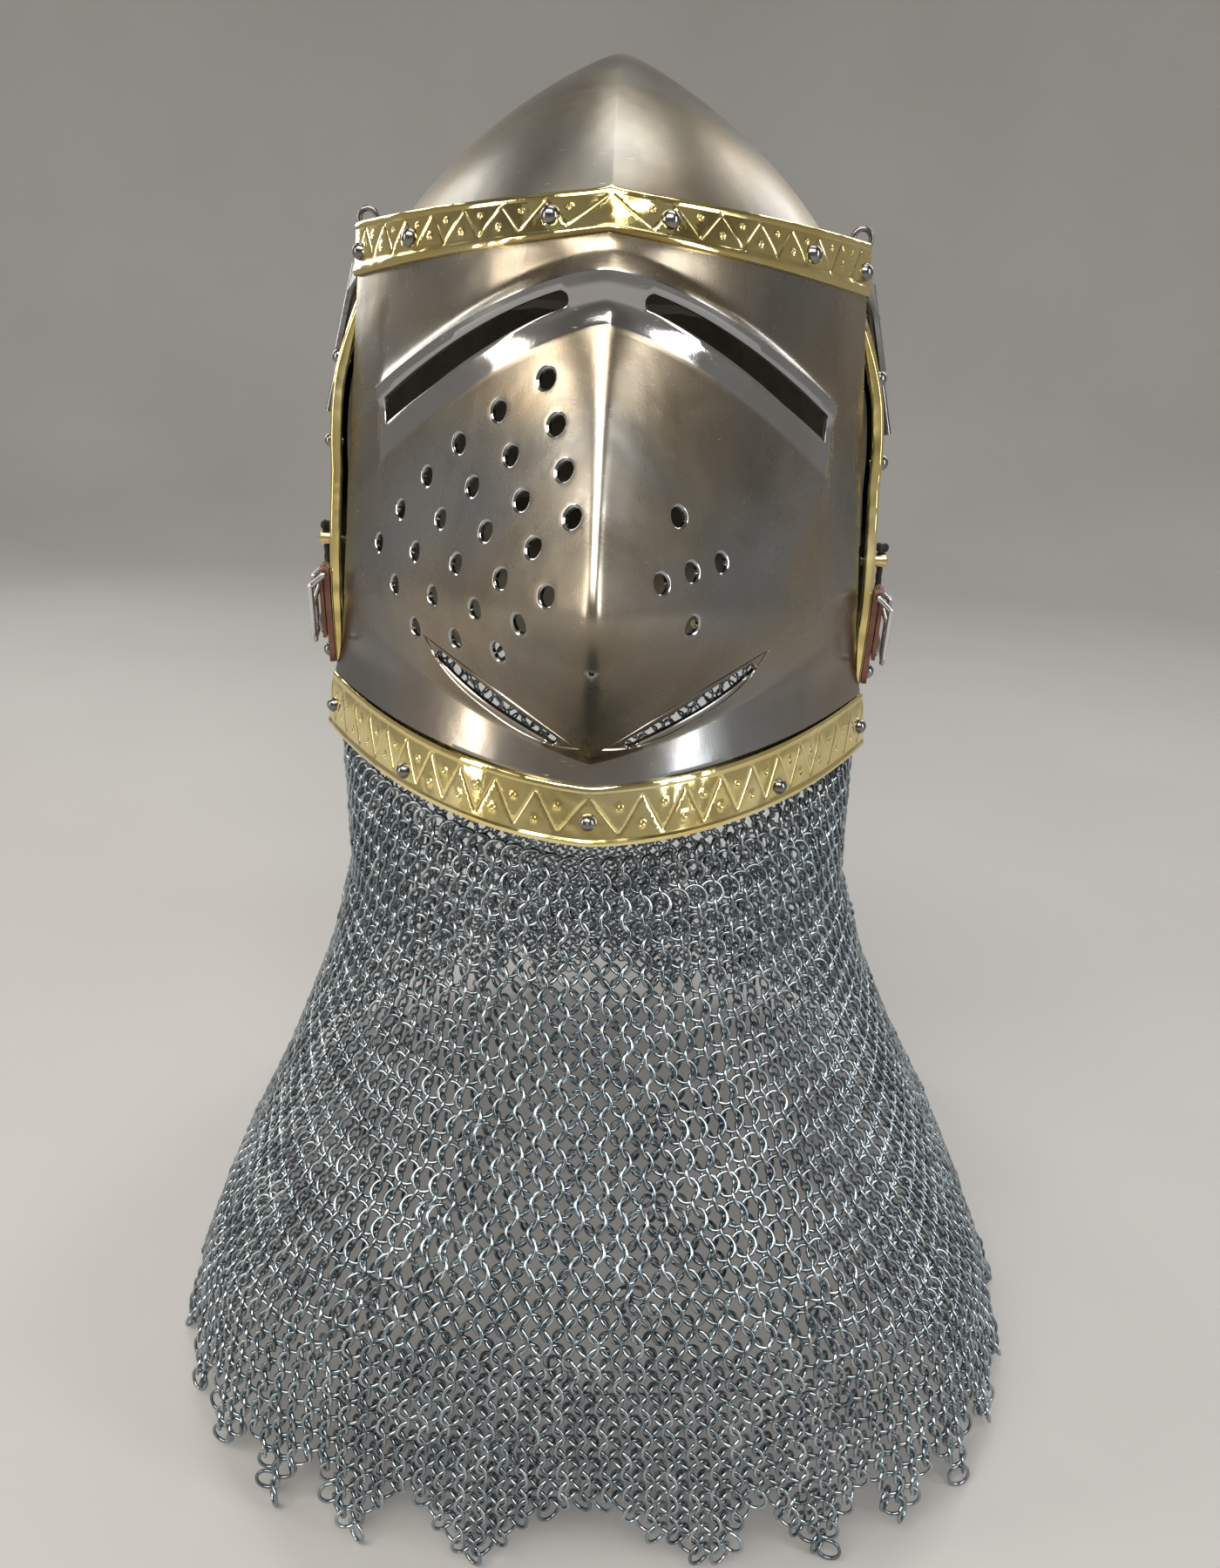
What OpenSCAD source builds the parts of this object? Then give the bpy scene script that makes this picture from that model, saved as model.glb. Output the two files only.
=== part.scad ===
// Bascinet with a pointed visor, brass bands, hinge pins that draw out, and a mail aventail.
// The crown seat is the origin, +Z is up, the face looks along -Y, and +X is the wearer's left.

/* [Skull] */
// Height of the apex above the crown seat
apex = 24; // [20:1:30]
// Depth of the widest level below the crown seat
belt = 150; // [144:1:158]
// Depth of the rim below the crown seat
rim = 255; // [250:1:262]
// Half of the width at the widest level
half_width = 124.3; // [120:0.1:129]
// How far the cheeks swell below the widest level
swell = 2.5; // [1:0.1:3.5]
// Extra half width at the rim
flare = 0.7; // [0:0.1:1.5]
// Depth from the middle to the front
fore_depth = 138; // [134:1:142]
// Depth from the middle to the back
aft_depth = 112; // [106:1:118]
// How far the apex sits behind the middle
apex_back = 30; // [22:1:36]
// How far the nape is drawn in
nape_draw = 11; // [6:1:14]
// How much the brow narrows towards the front
brow_pinch = 0.2; // [0.16:0.01:0.26]
// Height of the keel along the crown
keel_height = 3; // [1.5:0.5:4]
// Thickness of the steel plates
plate = 2; // [1.4:0.1:2.4]

/* [Face opening] */
// Depth of the brow edge below the crown seat
brow = 68; // [66:1:72]
// Distance of the cheek edges in front of the origin
cheek = 22; // [20:0.5:23]
// Radius of the opening's upper corners
corner = 14; // [10:1:16]
// Width of the brass strips around the opening
strip_width = 18; // [14:1:20]
// Thickness of the brass strips
strip_thick = 1.2; // [0.8:0.1:1.4]

/* [Visor] */
// Gap between the skull's side and the visor's top corners
visor_gap = 8.4; // [8:0.1:9.4]
// Gain of half width for each millimetre down
visor_spread = 0.087; // [0.08:0.001:0.092]
// Extra half width of the chin
chin_spread = 5.6; // [5.2:0.1:7]
// Height of the rib above the sights
rib_height = 4; // [2:0.5:5]
// Reach of the snout beyond the skull's depth to the front
snout_reach = 42; // [32:1:52]
// Height of the sights at their inner ends
sight_height = 5.6; // [4:0.2:7]
// Distance from the keel to the inner end of a sight
sight_inner = 13; // [10:0.5:18]
// Distance from the keel to the outer end of a sight
sight_outer = 89; // [80:0.5:91]
// Radius of the breaths
breath = 3.7; // [2.5:0.1:4.4]
// Height of the mouth slots
mouth_height = 4; // [2.5:0.1:5]
// Thickness of the brass bands
band_thick = 1.2; // [0.9:0.1:1.6]
// Extra height of the beads along the bands
bead = 0.6; // [0.3:0.1:0.9]

/* [Hinge] */
// Distance of the visor pivot behind the origin
pivot_back = 30; // [27:0.5:33]
// Depth of the visor pivot below the crown seat
pivot_down = 88; // [86:0.5:90]
// Radius of the pivot bolts
bolt = 3; // [2.5:0.1:3.5]
// Thickness of the pivot arms
arm_thick = 2.2; // [1.6:0.1:2.6]
// Radius of the round end of an arm
boss = 11; // [9.5:0.5:12]
// Distance of the hinge pins behind the origin
pin_back = 12; // [11:0.5:14]
// Lean of the hinge pins towards the crown
pin_lean = 14.5; // [13:0.5:16]
// Radius of the hinge pins
pin = 2; // [1.6:0.1:2.2]
// Wall of the knuckles
knuckle_wall = 1.2; // [0.9:0.1:1.4]
// Length of one knuckle
knuckle_long = 12.4; // [11:0.2:14]
// Reach of the pins below the knuckles
pin_tail = 28; // [20:1:32]

/* [Buckles] */
// Width of the leather tabs
tab_width = 20; // [17:0.5:20]
// Thickness of the leather
leather = 2.5; // [2:0.1:2.8]
// Radius of the buckle wire
wire = 1.3; // [1:0.1:1.5]
// Height of the buckle frames
frame_high = 33; // [29:0.5:34]
// Length of the tongues
tongue_long = 17; // [14:0.5:20]

/* [Aventail] */
// Width of the leather band that carries the mail
band_leather = 18; // [14:0.5:20]
// Radius of the vervelles
vervelle = 3.5; // [3:0.1:4]
// Height of the vervelles above the skull
vervelle_high = 10; // [9:0.5:12]
// Spaces between vervelles on one side
vervelle_gaps = 9; // [7:1:9]
// Radius of the cord through the vervelles
cord = 1.6; // [1.2:0.1:1.7]
// Depth of the tips of the mail below the crown seat
mail_hem = 548; // [530:1:560]
// Depth of the dags cut into the hem
dag = 38; // [20:1:42]
// Number of dags round the hem
dags = 30; // [20:1:30]
// Thickness of the mail
mail = 2; // [1.5:0.1:2.2]
// Sideways lean of the hanging mail
mail_lean = 0.042; // [0:0.001:0.05]

/* [Liner] */
// Thickness of the padding at its seams
seam_pad = 6.5; // [4:0.5:7]
// Thickness of the padding between seams
full_pad = 9.5; // [7.5:0.5:10]
// Depth of the liner's lower edge below the crown seat
liner_low = 175; // [165:1:180]

/* [Hidden] */
$fn = 32;
middle = 15;
seat = 0.15;
sag = 0.35;
fit = 0.05;
soft_gap = 0.3;
skull_sides = 48;
visor_sides = 36;
nape_reach = 130;
arm_clear = 0.9;
head_high = 3;
head = 3.5;
shank = 1.5;
peen = 0.8;
peen_wide = 2.3;
strap_high = 14;
strip_low = 239;
step_z = strip_low + 2;
cheek_step = 9;

function clamp(v) = min(1, max(0, v));
function smooth(v) = let(u = clamp(v)) u * u * (3 - 2 * u);
function unit(v) = v / norm(v);
function lerp(a, b, f) = a + (b - a) * f;
function range(n, a, b) = [for (i = [0 : n]) a + (b - a) * i / n];

// The skull is a family of level sections: half ellipses in front of and behind the middle.
function dome(z) = clamp((z + belt) / (apex + belt));
function below(z) = max(0, (-belt - z) / (rim - belt));
function side(z) = z > -belt
    ? half_width * pow(1 - pow(dome(z), 2.35), 0.85)
    : half_width + swell * sin(180 * below(z)) + flare * below(z);
function mid(z) = middle + apex_back * pow(dome(z), 3);
function fore(z) = fore_depth * sqrt(1 - pow(dome(z), 2.6));
function aft(z) = aft_depth * sqrt(1 - pow(dome(z), 3))
    - (z < -belt ? nape_draw * sin(180 * (-belt - z) / nape_reach) : 0);
function keel(t, z) = keel_height * pow(max(0, 1 - abs(sin(t)) / 0.3), 2) * side(z) / half_width;
function pinch(t, z) = 1 - brow_pinch * smooth((z + 115) / 35) * pow(max(0, cos(t)), 2);
function skull_at(t, z) = let(c = cos(t)) [
    side(z) * sin(t) * pinch(t, z),
    c > 0 ? mid(z) - fore(z) * c - keel(t, z) : mid(z) - aft(z) * c + keel(t, z) / 2,
    z
];
function skull_normal(t, z) = unit(cross(
    skull_at(t, z - 0.8) - skull_at(t, z + 0.8),
    skull_at(t + 1, z) - skull_at(t - 1, z)));
function skull(t, z, out) = skull_at(t, z) + out * skull_normal(t, z);
// Angle round the right of the skull at which the level section passes a given Y.
function turn(y, z) = acos(max(-1, min(1, (mid(z) - y) / (y < mid(z) ? fore(z) : aft(z)))));
function skull_rows() = concat(
    [for (i = [1 : 14]) -belt + (apex + belt) * (1 - pow(i / 14, 2))],
    [for (i = [1 : 6]) -belt - (rim - belt) * i / 6]);

// Visor stations, from the top edge to the chin: level at the keel, level at the sides, power
// between them, Y at the keel, how straight the plan is, rib height, Y at the sides.
top_corner = -51;
visor_half = side(top_corner) + visor_gap;
rear = -cheek - 5;
chin_rear = rear + 11;
front = -fore_depth;
snout = front - snout_reach;
STATIONS = [
    [-44.5, top_corner, 0.6, front + 26, 0.16, 0, rear],
    [-58.5, -71, 0.95, front + 14, 0.17, 0, rear],
    [-65, -121, 1.5, front + 10.5, 0.18, 0, rear],
    [-71.3, -128.6, 1.55, front + 9.5, 0.18, rib_height, rear],
    [-75, -132, 1.5, front + 9, 0.19, rib_height * 0.75, rear],
    [-80.5, -138, 1.35, front + 9.5, 0.21, rib_height * 0.38, rear],
    [-88.8, -163, 1.45, front + 8, 0.28, rib_height * 0.5, rear],
    [-115, -172, 1.4, snout + 34, 0.45, 0, rear],
    [-145, -180, 1.3, snout + 16.5, 0.6, 0, rear],
    [-175, -187, 1.2, snout, 0.72, 0, rear],
    [-198, -193, 1.1, snout + 10, 0.6, 0, rear],
    [-222, -199, 1.1, snout + 27, 0.42, 0, rear],
    [-241.5, -204.5, 1.1, front - 1, 0.2, 0, rear + 1],
    [-249, -241, 1, front - 2.8, 0.14, 0, rear + 1],
    [-250, -244, 1, front - 3, 0.12, 0, chin_rear],
    [-272, -270, 1, front - 8, 0.1, 0, chin_rear]
];
CREASES = [0, 3, 6, 12, 13, 14, 15];
last_station = 15;
function group_start(r) = max([for (c = CREASES) if (c <= r && c < last_station) c]);
function group_end(r) = min([for (c = CREASES) if (c > group_start(r)) c]);
// A smooth curve through the stations that breaks at the creases.
function station(r) = let(
    g = group_start(r),
    h = group_end(r),
    i = min(floor(r), h - 1),
    f = r - i,
    b = STATIONS[i],
    c = STATIONS[i + 1],
    a = i > g ? STATIONS[i - 1] : 2 * b - c,
    d = i + 1 < h ? STATIONS[i + 2] : 2 * c - b)
    0.5 * (2 * b + (c - a) * f + (2 * a - 5 * b + 4 * c - d) * f * f + (3 * b - a - 3 * c + d) * f * f * f);
function visor_width(z) = visor_half + visor_spread * (top_corner - z) + chin_spread * smooth((-z - 225) / 30);
function visor_level(r, a) = let(s = station(r)) s[0] + (s[1] - s[0]) * pow(abs(a), s[2]);
function visor_at(r, a) = let(s = station(r), b = abs(a), z = visor_level(r, a)) [
    a * visor_width(z),
    s[3] + (s[6] - s[3]) * (s[4] * b + (1 - s[4]) * b * b),
    z
];
function visor_normal(r, a) = let(d = 0.04, u = max(d, min(last_station - d, r)), v = max(d - 1, min(1 - d, a)))
    unit(cross(visor_at(u + d, v) - visor_at(u - d, v), visor_at(u, v + d) - visor_at(u, v - d)));
function rib(r, a) = let(x = abs(visor_at(r, a)[0])) station(r)[5] * clamp((93 - x) / 3);
function visor(r, a, out) = visor_at(r, a) + (rib(r, a) + out) * visor_normal(r, a);
// Row of the visor that lies at a level, found by halving.
function visor_row(a, z, lo = 0, hi = last_station, n = 20) = let(m = (lo + hi) / 2)
    n == 0 ? m : visor_level(m, a) > z ? visor_row(a, z, m, hi, n - 1) : visor_row(a, z, lo, m, n - 1);
function visor_spot(x, z) = let(a = x / visor_width(z), r = visor_row(a, z))
    [visor(r, a, 0), visor_normal(r, a)];
VISOR_ROWS = concat(range(2, 0, 1), [1.5, 2, 2.6], range(3, 3, 6), range(12, 6.5, 12), [12.5, 13, 14, 14.5, 15]);

// Joins sections into one closed skin. Each section is a ring of points that runs from the
// outer top down the outside and back up the inside, seen with the next section to the right.
module loft(sections, loop = false, crown = []) {
    n = len(sections);
    m = len(sections[0]);
    last = loop ? n - 1 : n - 2;
    edge = len(crown) > 0 ? m - 2 : m - 1;
    function at(i, j) = (i % n) * m + j % m;
    walls = [for (i = [0 : last], j = [0 : edge], k = [0, 1])
        k == 0 ? [at(i, j), at(i + 1, j), at(i + 1, j + 1)] : [at(i, j), at(i + 1, j + 1), at(i, j + 1)]];
    ends = loop ? [] : [for (j = [0 : m / 2 - 2], k = [0 : 3])
        let(a = j, b = j + 1, c = m - 2 - j, d = m - 1 - j, e = (n - 1) * m)
        k == 0 ? [a, b, c] : k == 1 ? [a, c, d] : k == 2 ? [e + a, e + c, e + b] : [e + a, e + d, e + c]];
    caps = len(crown) == 0 ? [] : [for (i = [0 : n - 1], k = [0, 1])
        k == 0 ? [n * m, at(i + 1, 0), at(i, 0)] : [n * m + 1, at(i, m - 1), at(i + 1, m - 1)]];
    polyhedron(points = concat([for (s = sections) each s], crown), faces = concat(walls, ends, caps));
}

// Puts children at a point with their Z along a direction.
module on(spot) {
    translate(spot[0])
        rotate([0, acos(spot[1][2]), atan2(spot[1][1], spot[1][0])])
            children();
}

module both() {
    children();
    mirror([1, 0, 0]) children();
}

// A round-headed rivet whose head rests at base and whose shank is peened over at -reach.
module rivet(base, reach, wide = head, high = head_high) {
    ball = (wide * wide + high * high) / (2 * high);
    translate([0, 0, base]) intersection() {
        translate([0, 0, high - ball]) sphere(r = ball);
        cylinder(r = wide + 1, h = high + 1);
    }
    translate([0, 0, -reach]) cylinder(r = shank, h = reach + base + high / 3);
    translate([0, 0, -reach - peen]) cylinder(r = peen_wide, h = peen);
}

module hole(r, reach = 12) {
    translate([0, 0, -reach]) cylinder(r = r, h = 2 * reach);
}

// The side view of the face opening, as a prism right across the helmet.
module face_cut(cheek_y, brow_z, r) {
    rotate([90, 0, 90]) translate([0, 0, -200]) linear_extrude(400) union() {
        translate([-300, -400]) square([300 - cheek_y - r, 400 - brow_z]);
        translate([-300, -400]) square([300 - cheek_y, 400 - brow_z - r]);
        translate([-cheek_y - r, -brow_z - r]) circle(r = r);
    }
}

// Steel skull
strip_out = sag + strip_thick;
tail = plate + sag + 0.4;
brow_spots = [for (t = [-40, -14, 14, 40]) let(z = -brow + strip_width / 2) [skull_at(t, z), skull_normal(t, z)]];
cheek_y = -cheek + strip_width / 2;
cheek_spots = [for (z = [-103, -138]) let(t = turn(cheek_y, z)) [skull_at(t, z), skull_normal(t, z)]];
strap_z = -brow + strip_width / 2;
strap_out = plate + sag;
strap_in = strap_out + leather + sag;
rear_spots = [for (t = [110, 145, 180, 215, 250]) [skull_at(t, strap_z), skull_normal(t, strap_z)]];

pivot_turn = turn(pivot_back, -pivot_down);
skull_side = skull_at(pivot_turn, -pivot_down)[0];
arm_low = -pivot_down - boss;
arm_in = skull_at(turn(pivot_back, arm_low), arm_low)[0] + arm_clear;
arm_out = arm_in + arm_thick;

module skull() {
    color("silver") difference() {
        loft([for (j = [0 : skull_sides - 1]) let(t = 360 * j / skull_sides, rows = skull_rows()) concat(
            [for (z = rows) skull(t, z, 0)],
            [for (i = [len(rows) - 1 : -1 : 0]) skull(t, rows[i], -plate)])],
            true, [[0, mid(apex), apex], [0, mid(apex), apex - plate]]);
        face_cut(cheek, brow, corner);
        face_cut(cheek - cheek_step, step_z, 4);
        rotate([0, 90, 0]) translate([pivot_down, pivot_back, -150]) cylinder(r = bolt + fit, h = 300);
        both() for (s = cheek_spots) on(s) hole(shank + fit);
        for (s = concat(brow_spots, rear_spots)) on(s) hole(shank + fit);
        both() buckle_place() for (z = buckle_rivet_z) translate([0, 0, z]) rotate([0, 90, 0]) hole(shank + fit);
        for (s = vervelle_spots) on(s) hole(vervelle_shank + fit, 5);
    }
}

// Brass strips round the face opening
brow_end = -cheek - corner - soft_gap;
module brow_trim() {
    top = -brow + strip_width;
    color("goldenrod") difference() {
        loft([for (f = range(20, -1, 1)) let(
            lo = f * turn(brow_end, -brow),
            up = f * turn(brow_end, top))
            [skull(up, top, strip_out), skull(lo, -brow, strip_out), skull(lo, -brow, sag), skull(up, top, sag)]]);
        for (s = brow_spots) on(s) hole(shank + fit);
    }
}

// The strip's path runs up the cheek edge and round the corner; across goes from the edge back.
function strip_point(u, across, out) = let(
    y = u < 1 ? -cheek + across : -cheek - corner + (corner + across) * cos(90 * (u - 1)),
    z = u < 1 ? lerp(-strip_low, -brow - corner, u) : -brow - corner + (corner + across) * sin(90 * (u - 1)),
    t = turn(y, z)) skull(t, z, out);
module cheek_strip() {
    difference() {
        loft([for (u = concat(range(8, 0, 0.999), range(8, 1, 2)))
            [strip_point(u, 0, strip_out), strip_point(u, strip_width, strip_out),
             strip_point(u, strip_width, sag), strip_point(u, 0, sag)]]);
        for (s = cheek_spots) on(s) hole(shank + fit);
        buckle_place() for (z = buckle_rivet_z) translate([0, 0, z]) rotate([0, 90, 0]) hole(shank + fit);
    }
}
module cheek_trim_left() { color("goldenrod") cheek_strip(); }
module cheek_trim_right() { color("goldenrod") mirror([1, 0, 0]) cheek_strip(); }

module trim_rivets() {
    color("gray") {
        for (s = brow_spots) on(s) rivet(strip_out + 2 * fit, strap_in + seat, 3, 1.4);
        both() for (s = cheek_spots) on(s) rivet(strip_out + 2 * fit, tail);
    }
}

// Hinged visor
function ridge(x) = -71.3 - 44.5 * pow(abs(x) / 92, 1.55);
function sight_top(x) = ridge(x) - 3;
function sight_low(x) = sight_top(x) - min(10, sight_height + 0.08 * (x - sight_inner));
module sight() {
    xs = range(12, sight_inner + sight_height / 2, sight_outer);
    mid_in = (sight_top(xs[0]) + sight_low(xs[0])) / 2;
    translate([0, -40, 0]) rotate([90, 0, 0]) linear_extrude(200) union() {
        polygon(concat([for (x = xs) [x, sight_top(x)]], [for (i = [len(xs) - 1 : -1 : 0]) [xs[i], sight_low(xs[i])]]));
        translate([xs[0], mid_in]) circle(r = sight_height / 2);
    }
}
module mouth() {
    run = norm([46.5, 22.1]);
    translate([0, -60, 0]) rotate([90, 0, 0]) linear_extrude(200)
        translate([15, -232.6]) rotate(atan2(22.1, 46.5)) union() {
            translate([0, -mouth_height / 2]) square([run, mouth_height]);
            circle(r = mouth_height / 2);
            translate([run, 0]) circle(r = mouth_height / 2);
        }
}
breath_spots = [for (i = [0 : 4], j = [(i < 4 ? 0 : 1) : 5 - max(0, i - 2)])
    visor_spot(-(19.3 + 18.3 * j - 0.7 * j * j - i * (3.6 + 1.05 * j) - 0.12 * i * i * j),
        -(105.6 + 11 * j + 0.56 * j * j + 14 * i))];
cross_spots = [for (p = [[33.7, -167], [28, -148.4], [35, -186], [22.7, -169], [45.1, -165.8]]) visor_spot(p[0], p[1])];

function rivet_at(x, z) = visor_spot(x, z);
top_spots = [for (p = [[20, -54.4], [75, -59.2]]) rivet_at(p[0], p[1])];
leaf_spot = rivet_at(visor_width(-62) - 2.9, -62);
chin_spots = [for (p = [[78, -264], [visor_width(-259) - 3, -259]]) rivet_at(p[0], p[1])];
chin_mid = rivet_at(0, -263);

module visor_plate() {
    color("lightsteelblue") difference() {
        loft([for (a = range(visor_sides, -1, 1)) concat(
            [for (r = VISOR_ROWS) visor(r, a, 0)],
            [for (i = [len(VISOR_ROWS) - 1 : -1 : 0]) visor(VISOR_ROWS[i], a, -plate)])]);
        both() {
            sight();
            mouth();
            for (s = concat(top_spots, [leaf_spot], chin_spots)) on(s) hole(shank + fit, 6);
        }
        on(chin_mid) hole(shank + fit, 6);
        for (s = breath_spots) on(s) hole(breath, 8);
        for (s = cross_spots) on(s) hole(breath, 8);
        on(visor_spot(0, -198)) hole(1, 8);
    }
}

// A brass band over the visor, with a raised bead along both edges.
module band(from, to) {
    w = to - from;
    rows = [[0, bead], [0.11, bead], [0.16, 0], [0.5, 0], [0.84, 0], [0.89, bead], [1, bead]];
    loft([for (a = range(visor_sides, -1, 1)) concat(
        [for (q = rows) visor(from + w * q[0], a, seat + band_thick + q[1])],
        [for (i = [6 : -1 : 0]) visor(from + w * rows[i][0], a, seat)])]);
}
module visor_top_band() {
    color("gold") difference() {
        band(0, 1);
        both() for (s = concat(top_spots, [leaf_spot])) on(s) hole(shank + fit, 6);
    }
}
module visor_bottom_band() {
    color("gold") difference() {
        band(14, 15);
        both() for (s = chin_spots) on(s) hole(shank + fit, 6);
        on(chin_mid) hole(shank + fit, 6);
    }
}
band_out = seat + band_thick + 3 * fit;
module top_band_rivets() {
    color("gray") both() {
        for (s = top_spots) on(s) rivet(band_out, tail);
        on(leaf_spot) rivet(band_out, plate + leaf_thick + seat + sag);
    }
}
module bottom_band_rivets() {
    color("gray") {
        both() for (s = chin_spots) on(s) rivet(band_out, tail);
        on(chin_mid) rivet(band_out, tail);
    }
}

// Hinges: a leaf inside the visor, an arm on the pivot, and a pin that draws out upwards.
knuckle = pin + fit + knuckle_wall;
leaf_thick = 2;
part_line = 0.2;
pin_x = arm_in + 1.2;
bar_y = knuckle + 0.4;
module hinge_place() {
    translate([pin_x, pin_back, -pivot_down]) rotate([0, -pin_lean, 0]) children();
}
function from_hinge(p) = [
    pin_x + p[0] * cos(pin_lean) - p[2] * sin(pin_lean),
    pin_back + p[1],
    -pivot_down + p[0] * sin(pin_lean) + p[2] * cos(pin_lean)
];
module pin_bore() {
    translate([0, 0, -60]) cylinder(r = pin + fit, h = 120);
}
function leaf_section(r0, r1, a) = [
    visor(r0, a, -plate - seat), visor(r1, a, -plate - seat),
    visor(r1, a, -plate - seat - leaf_thick), visor(r0, a, -plate - seat - leaf_thick)];
module leaf() {
    top = 2 * knuckle_long - part_line;
    low = knuckle_long + part_line;
    half = leaf_thick / 2;
    difference() {
        union() {
            hinge_place() {
                translate([0, 0, low]) cylinder(r = knuckle, h = top - low);
                translate([0, 0, -knuckle_long]) cylinder(r = knuckle, h = knuckle_long - part_line);
                translate([-half, -bar_y - 5, -knuckle_long]) cube([leaf_thick, 5, top + knuckle_long]);
                translate([-half, -bar_y - 1, low]) cube([leaf_thick, bar_y + 1, top - low]);
                translate([-half, -bar_y - 1, -knuckle_long]) cube([leaf_thick, bar_y + 1, knuckle_long - part_line]);
            }
            loft(concat(
                [for (d = [14, 7.5, 1]) leaf_section(0.16, 0.82, 1 - d / visor_width(-61))],
                [[for (p = [[half, low + 11], [half, low], [-half, low], [-half, low + 11]])
                    from_hinge([p[0], -bar_y - 4.5, p[1]])],
                 [for (p = [[half, low + 11], [half, low], [-half, low], [-half, low + 11]])
                    from_hinge([p[0], -bar_y - 1, p[1]])]]));
        }
        hinge_place() pin_bore();
        on(leaf_spot) hole(shank + fit, 6);
    }
}
module hinge_leaf_left() { color("dimgray") leaf(); }
module hinge_leaf_right() { color("dimgray") mirror([1, 0, 0]) leaf(); }

module arm() {
    difference() {
        union() {
            hinge_place() cylinder(r = knuckle, h = knuckle_long - part_line);
            rotate([90, 0, 90]) translate([0, 0, arm_in]) linear_extrude(arm_thick) union() {
                polygon([[pin_back, -pivot_down + 1], [pin_back, -pivot_down + 11],
                    [pivot_back, -pivot_down + boss], [pivot_back, -pivot_down - boss]]);
                translate([pivot_back, -pivot_down]) circle(r = boss);
            }
        }
        hinge_place() pin_bore();
        hinge_place() translate([0, 0, -20]) cylinder(r = knuckle + part_line, h = 20);
        hinge_place() translate([0, 0, knuckle_long]) cylinder(r = knuckle + part_line, h = 20);
        rotate([0, 90, 0]) translate([pivot_down, pivot_back, 0]) cylinder(r = bolt + fit, h = 200);
    }
}
module pivot_arm_left() { color("dimgray") arm(); }
module pivot_arm_right() { color("dimgray") mirror([1, 0, 0]) arm(); }

loop_wire = 1.2;
loop_ring = 4;
module draw_pin() {
    top = 2 * knuckle_long + 15;
    hinge_place() union() {
        translate([0, 0, -knuckle_long - pin_tail]) cylinder(r = pin, h = knuckle_long + pin_tail + top);
        translate([0, 0, top + loop_ring]) rotate([90, 0, 0]) rotate_extrude() translate([loop_ring, 0]) circle(r = loop_wire);
    }
}
module hinge_pin_left() { color("darkgray") draw_pin(); }
module hinge_pin_right() { color("darkgray") mirror([1, 0, 0]) draw_pin(); }

// Pivots through the skull
module along_pivot() {
    translate([0, pivot_back, -pivot_down]) rotate([0, 90, 0]) children();
}
spacer_wide = 5.5;
spacer_in = skull_at(turn(pivot_back, -pivot_down - spacer_wide), -pivot_down - spacer_wide)[0] + seat;
washer_wide = 6;
inner_up = -pivot_down + washer_wide;
washer_out = skull_at(turn(pivot_back, inner_up), inner_up)[0] - plate - seat - 0.3;
nut_thick = 3.6;
module pivot_bolts() {
    color("gray") both() along_pivot() {
        translate([0, 0, washer_out - 1 - nut_thick - 0.5]) cylinder(r = bolt, h = arm_out - washer_out + 2 + nut_thick);
        translate([0, 0, arm_out + seat]) intersection() {
            translate([0, 0, -5]) sphere(r = 8);
            cylinder(r = 7, h = 4);
        }
    }
}
module pivot_spacers() {
    color("darkgray") both() along_pivot() difference() {
        translate([0, 0, spacer_in]) cylinder(r = spacer_wide, h = arm_in - seat - spacer_in);
        cylinder(r = bolt + fit, h = 200);
    }
}
module pivot_washers() {
    color("darkgray") both() along_pivot() difference() {
        translate([0, 0, washer_out - 1]) cylinder(r = washer_wide, h = 1);
        cylinder(r = bolt + fit, h = 200);
    }
}
module pivot_nuts() {
    color("gray") both() along_pivot() difference() {
        translate([0, 0, washer_out - 1 - fit - nut_thick]) cylinder(r = 5.8, h = nut_thick, $fn = 6);
        cylinder(r = bolt + fit, h = 200);
    }
}

// The path of the vervelles, from the top on one cheek, round the back, to the other.
// It is drawn on the skull laid flat: angle times scale across, level up.
flat_scale = 2.15;
path_top = -174;
path_turn = 14;
path_low = -241;
path_start = 87.2;
path_foot = 88.6;
run_down = norm([(path_foot - path_start) * flat_scale, path_top - path_low - path_turn]);
run_turn = path_turn * PI / 2;
run_back = (180 - path_foot) * flat_scale - path_turn;
run_half = run_down + run_turn + run_back;
function half_path(s) = s < run_down
    ? [lerp(path_start, path_foot, s / run_down), lerp(path_top, path_low + path_turn, s / run_down)]
    : s < run_down + run_turn
        ? let(a = 90 * (s - run_down) / run_turn)
            [path_foot + path_turn * (1 - cos(a)) / flat_scale, path_low + path_turn * (1 - sin(a))]
        : [path_foot + (path_turn + s - run_down - run_turn) / flat_scale, path_low];
function path(s) = s <= run_half ? half_path(s) : let(p = half_path(2 * run_half - s)) [360 - p[0], p[1]];
function heading(s) = let(a = path(s - 0.5), b = path(s + 0.5)) unit([(b[0] - a[0]) * flat_scale, b[1] - a[1]]);
// A point beside the path: across is to the right of travel.
function beside(s, across, out) = let(p = path(s), d = heading(s))
    skull(p[0] + across * d[1] / flat_scale, p[1] - across * d[0], out);
path_steps = concat([0.5], range(3, 12, run_down), range(5, run_down + 4, run_down + run_turn),
    range(13, run_down + run_turn + 12, run_half));
all_steps = concat(path_steps, [for (i = [len(path_steps) - 2 : -1 : 0]) 2 * run_half - path_steps[i]]);

vervelle_first = 11;
vervelle_gap = (run_half - vervelle_first) / vervelle_gaps;
vervelle_steps = [for (i = [0 : 2 * vervelle_gaps]) vervelle_first + i * vervelle_gap];
vervelle_spots = [for (s = vervelle_steps) let(p = path(s)) [skull_at(p[0], p[1]), skull_normal(p[0], p[1])]];
vervelle_shank = 1.8;
cord_out = vervelle_high - 3.5;
cord_hole = cord + 0.3;

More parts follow.
